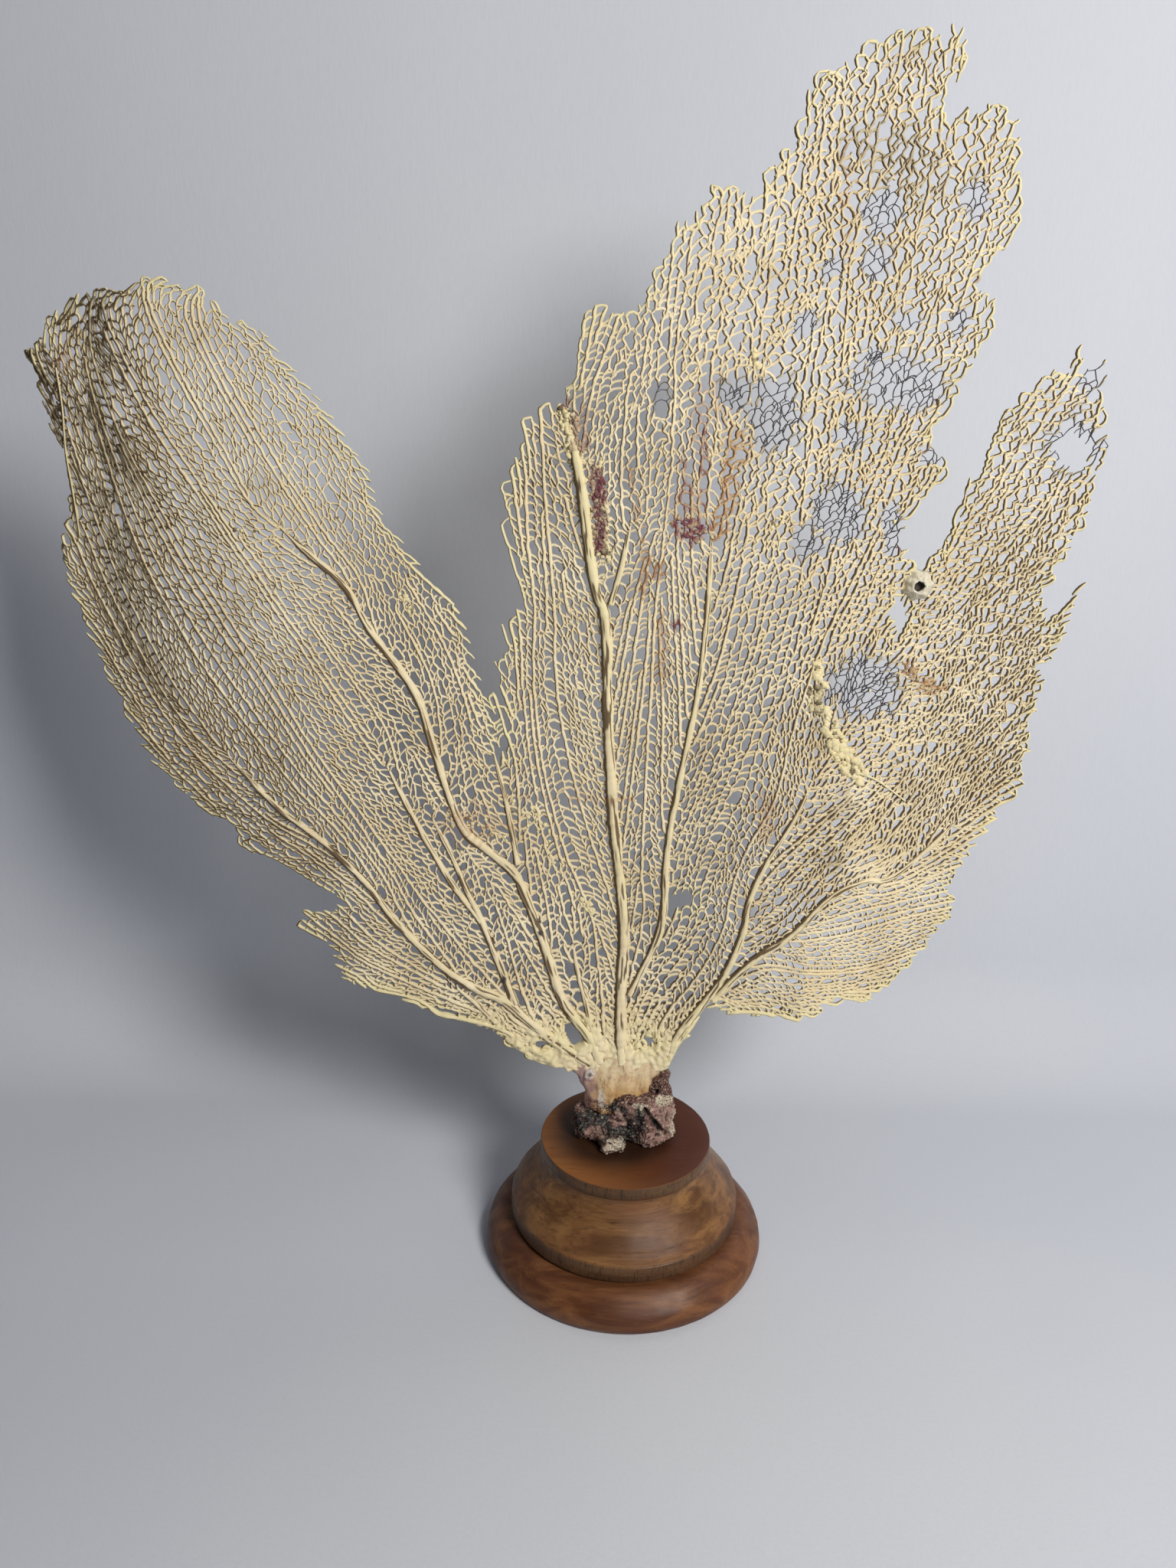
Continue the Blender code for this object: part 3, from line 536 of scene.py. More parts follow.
def zone_share(points, zones, ragged):
    """How far inside any of the photo's zones each point is, from 0 to 1, with a ragged edge."""
    u, v = to_photo(points)
    share = np.zeros(len(points))
    for centre_u, centre_v, half_u, half_v, strength in zones:
        away = np.sqrt(((u - centre_u) / half_u) ** 2 + ((v - centre_v) / half_v) ** 2)
        share = np.maximum(share, strength * smooth((ZONE_FULL + ragged - away) / ZONE_FADE))
    return share


def lobe_edges(name):
    """Border edges of a lobe's front in x, z, each a start and an end."""
    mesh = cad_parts[name].data
    mesh.calc_loop_triangles()
    places = {}
    numbers = []
    for vertex in mesh.vertices:
        key = tuple(round(value, 5) for value in vertex.co)
        numbers.append(places.setdefault(key, len(places)))
    directed = set()
    for triangle in mesh.loop_triangles:
        if triangle.normal.y < FRONT_FACING:
            a, b, c = (numbers[index] for index in triangle.vertices)
            directed.update(((a, b), (b, c), (c, a)))
    flat = np.array([(key[0], key[2]) for key in places])
    return [(flat[a], flat[b]) for a, b in directed if (b, a) not in directed]


def grid_places():
    """The grid's places, as two arrays of rows and columns."""
    x = np.arange(GRID_LEFT, GRID_RIGHT, GRID_STEP)
    z = np.arange(GRID_LOW, GRID_TOP, GRID_STEP)
    return np.meshgrid(x, z)


def distance_to_edges(x, z, edges):
    """Distance of every grid place to the nearest of some edges."""
    best = np.full(x.shape, 1.0)
    for start, end in edges:
        run = end - start
        share = ((x - start[0]) * run[0] + (z - start[1]) * run[1]) / max(run @ run, 1e-12)
        share = np.clip(share, 0.0, 1.0)
        away = (x - start[0] - share * run[0]) ** 2 + (z - start[1] - share * run[1]) ** 2
        np.minimum(best, away, out=best)
    return np.sqrt(best)


def inside_edges(x, z, edges):
    """Which grid places lie inside the closed loops of edges."""
    odd = np.zeros(x.shape, bool)
    for start, end in edges:
        rise = end[1] - start[1]
        if rise != 0.0:
            crosses = (start[1] > z) != (end[1] > z)
            odd ^= crosses & (x < start[0] + (z - start[1]) * (end[0] - start[0]) / rise)
    return odd


def region_fields():
    """Depth inside the whole fan's outline, and the number of the nearest lobe, on the grid."""
    x, z = grid_places()
    lobes = [lobe_edges(name) for name in LOBES]
    away = [distance_to_edges(x, z, edges) for edges in lobes]
    within = [inside_edges(x, z, edges) for edges in lobes]
    outer = []
    split = []
    for number, edges in enumerate(lobes):
        others = lobes[:number] + lobes[number + 1:]
        for start, end in edges:
            middle = (start + end) / 2.0
            gaps = [float(distance_to_edges(middle[0:1], middle[1:2], other)[0]) for other in others]
            if min(gaps) < SPLIT_REACH:
                split.append((start, end))
            elif middle[1] > FORK_HEIGHT + BORDER_RISE:
                outer.append((start, end))
    inside = within[0] | within[1] | within[2]
    inside |= distance_to_edges(x, z, split) < SPLIT_REACH * 0.6
    border = distance_to_edges(x, z, outer)
    depth = np.where(inside, border, -border)
    nearness = [np.where(hit, -1.0, far) for hit, far in zip(within, away)]
    return depth, np.argmin(np.array(nearness), 0)


def resampled(line, step):
    """Places about one step apart along a line."""
    reach = np.concatenate(([0.0], np.cumsum(np.linalg.norm(np.diff(line, axis=0), axis=1))))
    wanted = np.linspace(0.0, reach[-1], max(3, int(reach[-1] / step) + 1))
    return np.stack([np.interp(wanted, reach, line[:, axis]) for axis in range(line.shape[1])], 1)


def rounded_line(line, step):
    """A line of places with its corners cut twice, resampled about one step apart."""
    line = np.array(line)
    for _ in range(2):
        low = 0.75 * line[:-1] + 0.25 * line[1:]
        high = 0.25 * line[:-1] + 0.75 * line[1:]
        inner = np.stack((low, high), 1).reshape(-1, line.shape[1])
        line = np.concatenate((line[:1], inner, line[-1:]))
    return resampled(line, step)


def all_ribs():
    """Every rib as places on the sheet, with its half thicknesses."""
    ribs = LEFT_RIBS + CENTRE_RIBS + RIGHT_RIBS
    return [(rounded_line(photo_to_sheet(line), RIB_STEP), low, high) for line, low, high in ribs]


def growth_fields(ribs, depth):
    """Growth direction on the grid, and the side of the nearest rib with its distance."""
    x, z = grid_places()
    total_x = np.zeros(x.shape)
    total_z = np.zeros(x.shape)
    rib_side = np.zeros(x.shape)
    rib_far = np.full(x.shape, 1.0)
    guides = [(rounded_line(line, GUIDE_STEP), True) for line, _, _ in ribs]
    guides += [(rounded_line(photo_to_sheet(line), GUIDE_STEP), False) for line in GROWTH_LINES]
    for line, is_rib in guides:
        heading = unit_rows(np.gradient(line, axis=0), 0.0)
        nearest = np.full(x.shape, 9.0)
        along_x = np.zeros(x.shape)
        along_z = np.zeros(x.shape)
        side = np.zeros(x.shape)
        for point, way in zip(line, heading):
            away = (x - point[0]) ** 2 + (z - point[1]) ** 2
            closer = away < nearest
            nearest[closer] = away[closer]
            along_x[closer] = way[0]
            along_z[closer] = way[1]
            cross = way[1] * (x - point[0]) - way[0] * (z - point[1])
            side[closer] = np.sign(cross[closer])
        weight = 1.0 / (nearest + GUIDE_SOFT ** 2) ** 1.5
        total_x += weight * along_x
        total_z += weight * along_z
        if is_rib:
            nearest = np.sqrt(nearest)
            closer = nearest < rib_far
            rib_far[closer] = nearest[closer]
            rib_side[closer] = side[closer]
    size = np.hypot(total_x, total_z)
    total_x /= size
    total_z /= size
    turn = rib_side * RIB_SPREAD * np.exp(-rib_far / RIB_SPREAD_REACH)
    turn += LOOSE_TURN * looseness(x, z) * wobble(stretched(x, 0.0, z), LOOSE_SIZE, 71.0).reshape(x.shape)
    slope_z, slope_x = np.gradient(depth, GRID_STEP)
    spread = np.where((x < LEFT_EDGE_X) & (slope_x < 0.3), LEFT_EDGE_SPREAD, EDGE_SPREAD)
    push = spread * smooth(1.0 - np.abs(depth) / EDGE_SPREAD_REACH)
    grow_x = total_x * np.cos(turn) + total_z * np.sin(turn) - push * slope_x
    grow_z = total_z * np.cos(turn) - total_x * np.sin(turn) - push * slope_z
    size = np.hypot(grow_x, grow_z)
    return grow_x / size, grow_z / size, rib_side, rib_far


def looseness(x, z):
    """How far the net loses its long strands: near the top and in the right lobe."""
    top = ramp(z, *LOOSE_TOP_LOW) * ramp(x, *LOOSE_TOP_SIDE)
    right = ramp(x, *LOOSE_RIGHT_SIDE) * ramp(z, *LOOSE_RIGHT_LOW)
    return np.maximum(top, right)


def top_area(x, z):
    """How far places lie in the fan's top."""
    return ramp(z, *TOP_LOW) * ramp(x, *TOP_SIDE)


def left_area(x):
    """How far places lie in the left lobe."""
    return ramp(-x, *LEFT_SIDE)


def spacing_fields():
    """Wanted gap between strands and between links, on the grid."""
    x, z = grid_places()
    base = 1.0 - ramp(z, *DENSE_BASE)
    right = ramp(x, *RIGHT_SIDE) * (1.0 - ramp(z, *RIGHT_TOP))
    top = top_area(x, z)
    left = left_area(x)
    long_left = left * ramp(z, *LONG_LEFT_LOW)
    rim = ramp(-x, *DENSE_RIM_SIDE) * ramp(z, *DENSE_RIM_LOW)
    loose = 0.98 - 0.20 * base - 0.20 * right - 0.02 * top - 0.08 * left - 0.12 * long_left
    strand = STRAND_GAP * (1.0 - 0.35 * rim) * loose
    link = LINK_GAP * (1.0 - 0.28 * base - 0.18 * right - 0.04 * top + 0.20 * long_left)
    return strand, link


def read(field, x, z):
    """One value of a grid field, between its places."""
    column = (x - GRID_LEFT) / GRID_STEP
    row = (z - GRID_LOW) / GRID_STEP
    left = int(column)
    low = int(row)
    across = column - left
    rise = row - low
    below = field[low][left] * (1.0 - across) + field[low][left + 1] * across
    above = field[low + 1][left] * (1.0 - across) + field[low + 1][left + 1] * across
    return below * (1.0 - rise) + above * rise


def read_all(field, places):
    """A grid field's values at many places."""
    column = np.clip((places[:, 0] - GRID_LEFT) / GRID_STEP, 0, field.shape[1] - 2)
    row = np.clip((places[:, 1] - GRID_LOW) / GRID_STEP, 0, field.shape[0] - 2)
    left = column.astype(int)
    low = row.astype(int)
    across = column - left
    rise = row - low
    below = field[low, left] * (1.0 - across) + field[low, left + 1] * across
    above = field[low + 1, left] * (1.0 - across) + field[low + 1, left + 1] * across
    return below * (1.0 - rise) + above * rise


class Nearby:
    """Points of the strands so far, found by place."""

    def __init__(self):
        self.cells = {}
        self.widest = 0.0

    def add(self, x, z, extra, strand, index):
        """Take in one point, which keeps extra room round it."""
        key = (int(x // CELL), int(z // CELL))
        self.cells.setdefault(key, []).append((x, z, extra, strand, index))
        self.widest = max(self.widest, extra)

    def around(self, x, z, reach):
        """The points in the cells within reach of a place."""
        found = []
        for column in range(int((x - reach) // CELL), int((x + reach) // CELL) + 1):
            for row in range(int((z - reach) // CELL), int((z + reach) // CELL) + 1):
                found += self.cells.get((column, row), ())
        return found

    def crowded(self, x, z, limit):
        """Whether any point keeps less than limit of room to this place."""
        for px, pz, extra, _, _ in self.around(x, z, limit + self.widest):
            room = limit + extra
            if (px - x) ** 2 + (pz - z) ** 2 < room * room:
                return True
        return False


class Net:
    """The fan's strands and links, grown on the sheet."""

    def __init__(self, ribs):
        self.draw = random.Random(23)
        self.ribs = ribs
        self.depth_field, self.lobe_field = region_fields()
        fields = growth_fields(ribs, self.depth_field)
        self.rib_far_field = fields[3]
        self.depth = self.depth_field.tolist()
        self.grow_x = fields[0].tolist()
        self.grow_z = fields[1].tolist()
        self.rib_side = fields[2].tolist()
        self.strand_gap, self.link_gap = (field.tolist() for field in spacing_fields())
        self.loose = looseness(*grid_places()).tolist()
        self.nearby = Nearby()
        self.strands = []
        self.is_main = []
        self.links = []

    def inside(self, x, z, margin=0.0):
        """Whether a place is on the fan, so far from its edge."""
        if not GRID_LEFT < x < GRID_RIGHT - 2 * GRID_STEP or not z < GRID_TOP - 2 * GRID_STEP:
            return False
        if z < FORK_HEIGHT - 0.0008:
            return False
        return read(self.depth, x, z) > margin

    def heading(self, x, z):
        """Growth direction at a place."""
        way_x = read(self.grow_x, x, z)
        way_z = read(self.grow_z, x, z)
        size = math.hypot(way_x, way_z)
        return way_x / size, way_z / size

    def grow(self, x, z, sign, margin):
        """The places of a strand from a start, until the edge or another strand is near."""
        places = []
        for _ in range(LONGEST_STRAND):
            way_x, way_z = self.heading(x, z)
            middle_x = x + sign * way_x * STRAND_STEP / 2
            middle_z = z + sign * way_z * STRAND_STEP / 2
            if not self.inside(middle_x, middle_z, margin):
                break
            way_x, way_z = self.heading(middle_x, middle_z)
            x += sign * way_x * STRAND_STEP
            z += sign * way_z * STRAND_STEP
            if not self.inside(x, z, margin):
                break
            if self.nearby.crowded(x, z, STOP_SHARE * read(self.strand_gap, x, z)):
                break
            places.append((x, z))
            if self.draw.random() < LOOSE_BREAK * read(self.loose, x, z):
                break
        return places

    def try_strand(self, x, z):
        """A strand through a free place, if there is room for one."""
        if not self.inside(x, z, SEED_MARGIN):
            return
        if self.nearby.crowded(x, z, SEED_SHARE * read(self.strand_gap, x, z)):
            return
        margin = self.draw.uniform(*EDGE_MARGINS)
        if self.draw.random() < TIP_SHARE:
            margin = -self.draw.uniform(TIP_LEAST, TIP_REACH)
        down = self.grow(x, z, -1.0, max(0.0, margin))
        up = self.grow(x, z, 1.0, margin)
        places = down[::-1] + [(x, z)] + up
        if len(places) >= SHORTEST_STRAND:
            self.take(places, None)

    def take(self, places, extra):
        """Keep a finished strand."""
        number = len(self.strands)
        self.strands.append(np.array(places))
        self.is_main.append(self.draw.random() < MAIN_SHARE)
        for index, (x, z) in enumerate(places):
            room = extra[index] if extra else 0.0
            self.nearby.add(x, z, room, number, index)

    def grow_strands(self):
        """Strands from the ribs outwards until the whole fan is filled."""
        for line, low, high in self.ribs:
            wide = rib_wide(len(line), low, high)
            self.take([tuple(place) for place in line], [RIB_ROOM * value for value in wide])
        self.rib_count = len(self.strands)
        for rim in RIMS:
            self.take([tuple(place) for place in rounded_line(photo_to_sheet(rim), STRAND_STEP)], None)
        number = 0
        while number < len(self.strands):
            places = self.strands[number]
            ways = unit_rows(np.gradient(places, axis=0))
            for index in range(0, len(places), 2):
                x, z = places[index]
                if not self.inside(x, z):
                    continue
                gap = read(self.strand_gap, x, z)
                if number < self.rib_count:
                    gap = 0.95 * gap + RIB_ROOM * rib_wide(len(places), *self.ribs[number][1:])[index]
                for side in (-1.0, 1.0):
                    self.try_strand(x + side * ways[index, 1] * gap, z - side * ways[index, 0] * gap)
            number += 1
        self.fill_left_places()

    def fill_left_places(self):
        """Strands in whatever room the outward growth left."""
        x = GRID_LEFT + 0.002
        while x < GRID_RIGHT - 0.004:
            z = FORK_HEIGHT
            while z < GRID_TOP - 0.004:
                self.try_strand(x, z)
                z += FILL_STEP
            x += FILL_STEP

    def neighbour(self, x, z, way, strand, side, gap):
        """The nearest point of another strand straight to one side."""
        best = None
        reach = LINK_REACH * gap + self.nearby.widest * 0.5
        for px, pz, _, other, index in self.nearby.around(x, z, reach):
            if other == strand:
                continue
            along = (px - x) * way[0] + (pz - z) * way[1]
            across = side * ((px - x) * way[1] - (pz - z) * way[0])
            if abs(along) < LINK_WINDOW and LINK_LEAST < across < reach:
                if best is None or across < best[0]:
                    best = (across, other, index)
        return best

    def join_end(self, number, at_start):
        """Carry a strand's end on to the neighbour that it forks from or runs into."""
        places = self.strands[number]
        end = places[0] if at_start else places[-1]
        inner = places[min(3, len(places) - 1)] if at_start else places[max(-4, -len(places))]
        way = end - inner
        size = float(np.hypot(*way))
        if size == 0.0:
            return
        way = way / size
        gap = read(self.strand_gap, *end)
        best = None
        for px, pz, _, other, index in self.nearby.around(end[0], end[1], 2.2 * gap):
            if other == number:
                continue
            along = (px - end[0]) * way[0] + (pz - end[1]) * way[1]
            across = abs((px - end[0]) * way[1] - (pz - end[1]) * way[0])
            if -0.1 * gap < along < 2.0 * gap and 0.3 * gap < across + along and across < 1.9 * gap:
                cost = abs(along - 0.9 * gap) + across
                if best is None or cost < best[0]:
                    best = (cost, px, pz)
        if best is None:
            return
        goal = np.array(best[1:])
        bend = end + way * 0.45 * float(np.hypot(*(goal - end)))
        shares = np.linspace(0.0, 1.0, 2 * RING_EVERY + 1)[1:, None]
        curve = (1 - shares) ** 2 * end + 2 * shares * (1 - shares) * bend + shares ** 2 * goal
        pieces = (curve[::-1], places) if at_start else (places, curve)
        self.strands[number] = np.concatenate(pieces)

    def join_ends(self):
        """Ends inside the fan run into a neighbour; ends at its edge stay free."""
        self.shift = [0] * len(self.strands)
        for number in range(self.rib_count, len(self.strands)):
            places = self.strands[number]
            before = len(places)
            low_x, low_z = places[0]
            if self.inside(low_x, low_z, LOW_JOIN_DEPTH) and low_z > FORK_HEIGHT + 0.001:
                self.join_end(number, True)
                self.shift[number] = len(self.strands[number]) - before
            high_x, high_z = places[-1]
            deep_inside = self.inside(high_x, high_z, HIGH_JOIN_DEPTH)
            if self.draw.random() < HIGH_JOINS[deep_inside]:
                self.join_end(number, False)

    def add_links(self):
        """Links across every gap, slanting up and away from the nearest rib."""
        self.joints = [[] for _ in self.strands]
        for number in range(len(self.strands)):
            places = self.strands[number]
            arc = self.draw.uniform(0.2, 1.0) * LINK_GAP
            index = int(arc / STRAND_STEP) // RING_EVERY * RING_EVERY
            while index < len(places) - 1:
                x, z = places[index]
                spacing = LINK_GAP
                if self.inside(x, z):
                    spacing = read(self.link_gap, x, z)
                    self.add_link(number, index, x, z)
                step = spacing * self.draw.uniform(0.72, 1.28)
                if number < self.rib_count:
                    step *= STRAND_STEP / RIB_STEP * 0.9
                index += max(RING_EVERY, round(step / STRAND_STEP / RING_EVERY) * RING_EVERY)

    def add_link(self, number, index, x, z):
        """One link to the right-hand neighbour, if there is one."""
        way = self.heading(x, z)
        gap = read(self.strand_gap, x, z)
        found = self.neighbour(x, z, way, number, 1.0, gap)
        if found is None:
            return
        across, other, there = found
        there += self.shift[other]
        step = RIB_STEP if other < self.rib_count else STRAND_STEP
        slant = self.draw.uniform(LEAST_SLANT, MOST_SLANT) * min(across, gap)
        away = (read(self.rib_side, x, z) >= 0.0) != (self.draw.random() < TURNED_LINKS)
        there += round((slant if away else -slant) / step)
        if other >= self.rib_count:
            there = there // RING_EVERY * RING_EVERY
        if not 0 <= there < len(self.strands[other]):
            return
        taken = any(abs(mark - index) < 2 for mark, _ in self.joints[number])
        if taken and index + RING_EVERY < len(self.strands[number]):
            index += RING_EVERY
        near_edge = max(0.0, 1.0 - read(self.depth, x, z) / DROP_REACH)
        if self.draw.random() < DROPPED_LINKS * near_edge:
            return
        spur = self.draw.random() < SPUR_SHARE
        self.joints[number].append((index, 1.0))
        if not spur:
            self.joints[other].append((there, -1.0))
        self.links.append((number, index, other, there, spur))

    def bend_strands(self):
        """Every strand is drawn a little towards its links."""
        for number in range(self.rib_count, len(self.strands)):
            places = self.strands[number]
            ways = unit_rows(np.gradient(places, axis=0))
            right = np.stack((ways[:, 1], -ways[:, 0]), 1)
            steps = np.arange(len(places))
            push = np.zeros(len(places))
            for mark, side in self.joints[number]:
                push += side * np.exp(-(((steps - mark) * STRAND_STEP) / ZIGZAG_REACH) ** 2)
            fade = np.minimum(1.0, np.minimum(steps, steps[::-1]) / 4.0)
            sway = ZIGZAG * (MAIN_SWAY if self.is_main[number] else MINOR_SWAY)
            sway = sway * (1.0 + LOOSE_SWAY * looseness(places[:, 0], places[:, 1]))
            self.strands[number] = places + right * (sway * np.clip(push, -1.2, 1.2) * fade)[:, None]


def rib_wide(count, low, high):
    """Half width of a rib at each of its points."""
    share = np.linspace(0.0, 1.0, count) ** RIB_TAPER
    return (RIB_WIDE_LOW * low + (RIB_WIDE_HIGH * high - RIB_WIDE_LOW * low) * share).tolist()


def add_object(name, data):
    """An object in the scene."""
    thing = bpy.data.objects.new(name, data)
    bpy.context.scene.collection.objects.link(thing)
    return thing


def set_values(mesh, names, columns):
    """Values of a mesh's points, as attributes."""
    for name, column in zip(names, columns):
        attribute = mesh.attributes.new(name, "FLOAT", "POINT")
        attribute.data.foreach_set("value", column.astype(np.float32))


def finish_piece(piece, slot_name, *node_names):
    """A piece that stands for CAD nodes and moves with the whole."""
    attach(piece, "root")
    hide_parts(*node_names)


class MeshParts:
    """Vertices, faces and point values gathered for one mesh."""

    def __init__(self):
        self.points = []
        self.faces = []
        self.values = []
        self.count = 0

    def add(self, points, faces, values):
        """Take in one part; values has a row for each point."""
        self.points.append(points)
        self.faces.append(faces + self.count)
        self.values.append(values)
        self.count += len(points)

    def make(self, name, material, names=VALUE_NAMES):
        """The mesh object, smooth, with the values as point attributes."""
        points = np.concatenate(self.points)
        faces = np.concatenate(self.faces)
        mesh = bpy.data.meshes.new(name)
        mesh.vertices.add(len(points))
        mesh.vertices.foreach_set("co", points.astype(np.float32).ravel())
        mesh.loops.add(len(faces) * 3)
        mesh.loops.foreach_set("vertex_index", faces.astype(np.int32).ravel())
        mesh.polygons.add(len(faces))
        mesh.polygons.foreach_set("loop_start", np.arange(0, len(faces) * 3, 3, dtype=np.int32))
        mesh.polygons.foreach_set("use_smooth", np.ones(len(faces), bool))
        mesh.update(calc_edges=True)
        set_values(mesh, names, np.concatenate(self.values).T)
        thing = add_object(name, mesh)
        thing.data.materials.append(material)
        return thing


def stretched(*axes):
    """Points whose x, y and z are stretched to one grid."""
    return np.stack(np.broadcast_arrays(*axes), -1).reshape(-1, 3)


def ring_angles(sides):
    """Angles of a ring's points."""
    return 2.0 * math.pi * np.arange(sides) / sides


def tube_faces(rings, sides, closed=True):
    """Triangles of a tube of rings; a closed one has a point at each end, which come last."""
    faces = []
    for ring in range(rings - 1):
        for side in range(sides):
            following = (side + 1) % sides
            low = ring * sides
            high = low + sides
            faces.append((low + side, low + following, high + following))
            faces.append((low + side, high + following, high + side))
    if not closed:
        return np.array(faces)
    start = rings * sides
    last = (rings - 1) * sides
    for side in range(sides):
        following = (side + 1) % sides
        faces.append((start, following, side))
        faces.append((start + 1, last + side, last + following))
    return np.array(faces)


def tube_points(centres, normals, wide, deep, sides, caps):
    """Points of a tube along centres: its rings, then a point at each end."""
    ways = unit_rows(np.gradient(centres, axis=0))
    across = unit_rows(np.cross(ways, normals))
    through = np.cross(across, ways)
    angles = 2.0 * math.pi * (np.arange(sides) + 0.5) / sides
    rings = centres[:, None, :] + across[:, None, :] * (wide[:, None] * np.cos(angles))[:, :, None]
    rings = rings + through[:, None, :] * (deep[:, None] * np.sin(angles))[:, :, None]
    start = centres[0] - ways[0] * caps[0]
    end = centres[-1] + ways[-1] * caps[1]
    return np.concatenate((rings.reshape(-1, 3), start[None], end[None]))


def place_values(points, depth_field):
    """The colour values of the net at points: one column for each of VALUE_NAMES."""
    rough = wobble(points, 0.0050, 3.0)
    fine = wobble(points, 0.0018, 11.0)
    zone_shares = [zone_share(points, zones, rough_edge * rough + fine_edge * fine)
              for zones, rough_edge, fine_edge in STAIN_AND_SHADE_ZONES]
    crust = 1.0 - ramp(points[:, 2] - 0.012 * rough, *YELLOW_BASE)
    edge = smooth(1.0 - read_all(depth_field, points[:, (0, 2)]) / PALE_EDGE)
    tone = 0.5 + 0.5 * wobble(points, 0.020, 29.0) + 0.25 * fine
    return np.stack((*zone_shares, crust, edge, tone, 0.0 * tone), 1)


def tube_rows(values, centres, tube, sides):
    """Colour values of a closed tube's points, with painted shade on the flank that faces away from the
    light.
    """
    x = np.repeat(centres[:, 0], sides)
    outward = unit_rows(tube[:-2] - np.repeat(centres, sides, 0))
    rows = np.repeat(values, sides, 0)
    left = smooth(x / LEFT_FULL_X)
    # Painted shade: how far each point's side faces away from the light
    shaded = (outward @ SHADED_SIDE) * (1.0 - left) + (outward @ LEFT_SHADED_SIDE) * left
    shaded += RIGHT_SHADE * ramp(x, *RIGHT_SHADE_START)
    rows[:, FLANK] = ramp(shaded, *FLANK_RANGE)
    return np.concatenate((rows, values[:1], values[-1:]))


def strand_size(points, bare):
    """Half width of strands at points, which bare places lack."""
    x = points[:, 0]
    z = points[:, 2]
    base = 1.0 - ramp(z, *THICK_BASE)
    skirt = ramp(x, *THIN_SKIRT_SIDE) * (1.0 - ramp(z, *THIN_SKIRT_TOP))
    size = STRAND_HALF * (1.0 + 0.62 * base - 0.16 * skirt + 0.02 * top_area(x, z) - 0.12 * left_area(x))
    size *= 1.0 + 0.30 * wobble(points, 0.0035, 5.0)
    return size * (1.0 - bare) + BARE_HALF * bare


def piece_numbers(net, places):
    """Which mesh each place belongs to: lobe, and low or high in it."""
    column = ((places[:, 0] - GRID_LEFT) / GRID_STEP).round().astype(int)
    row = ((places[:, 1] - GRID_LOW) / GRID_STEP).round().astype(int)
    lobe = net.lobe_field[np.clip(row, 0, net.lobe_field.shape[0] - 1),
                          np.clip(column, 0, net.lobe_field.shape[1] - 1)]
    return 2 * lobe + (places[:, 1] > np.array(PIECE_HEIGHTS)[lobe])


def strand_parts(net, parts):
    """Tubes of all strands, into the mesh that each stretch belongs to."""
    for number in range(net.rib_count, len(net.strands)):
        places = net.strands[number]
        picked = list(range(0, len(places), RING_EVERY))
        if picked[-1] != len(places) - 1:
            picked.append(len(places) - 1)
        places = places[picked]
        if len(places) < 3:
            continue
        points, normals = net_points(places)
        values = place_values(points, net.depth_field)
        own = MAIN_SIZE if net.is_main[number] else MINOR_SIZE
        tight = 1.0 - looseness(places[:, 0], places[:, 1])
        size = strand_size(points, values[:, BARE]) * (1.0 + (own - 1.0) * tight)
        steps = np.arange(len(points))
        size *= 0.50 + 0.50 * smooth((np.minimum(steps, steps[::-1]) + 0.6) / 3.0)
        owner = piece_numbers(net, places)
        start = 0
        for index in range(1, len(places) + 1):
            if index < len(places) and owner[index] == owner[start]:
                continue
            stop = min(index + 1, len(places))
            if stop - start >= 2:
                run = slice(start, stop)
                wide = size[run]
                caps = (wide[0] * 0.8, wide[-1] * 0.8)
                tube = tube_points(points[run], normals[run], wide, wide * DEEP_SHARE, TUBE_SIDES, caps)
                rows = tube_rows(values[run], points[run], tube, TUBE_SIDES)
                parts[owner[start]].add(tube, tube_faces(stop - start, TUBE_SIDES), rows)
            start = index


def link_parts(net, parts):
    """Short tubes of all links, wider where they meet the strands."""
    shares = np.array(LINK_SHARES)
    starts = np.array([net.strands[a][i] for a, i, _, _, _ in net.links])
    ends = np.array([net.strands[b][j] for _, _, b, j, _ in net.links])
    middles = (starts + ends) / 2.0
    points, _ = net_points(middles)
    values = place_values(points, net.depth_field)
    size = strand_size(points, values[:, BARE])
    owner = piece_numbers(net, middles)
    open_faces = tube_faces(len(shares), LINK_SIDES, False)
    closed_faces = tube_faces(len(shares), LINK_SIDES)
    for number, link in enumerate(net.links):
        spur = link[-1]
        run = (ends[number] - starts[number]) * (SPUR_REACH if spur else 1.0)
        bend = np.array((run[1], -run[0])) * net.draw.uniform(-LINK_ARCH, LINK_SAG)
        places = starts[number] + run * shares[:, None]
        places = places + bend * (4.0 * shares * (1.0 - shares))[:, None]
        centres, normals = net_points(places)
        wide = size[number] * LINK_THIN * np.array(SPUR_FLARE if spur else LINK_FLARE)
        deep = size[number] * DEEP_SHARE * np.array(LINK_DEEP)
        tube = tube_points(centres, normals, wide, deep, LINK_SIDES, (0.0, SPUR_TIP))
        rows = tube_rows(np.repeat(values[number:number + 1], len(shares), 0), centres, tube, LINK_SIDES)
        if spur:
            parts[owner[number]].add(tube, closed_faces, rows)
        else:
            parts[owner[number]].add(tube[:-2], open_faces, rows[:-2])


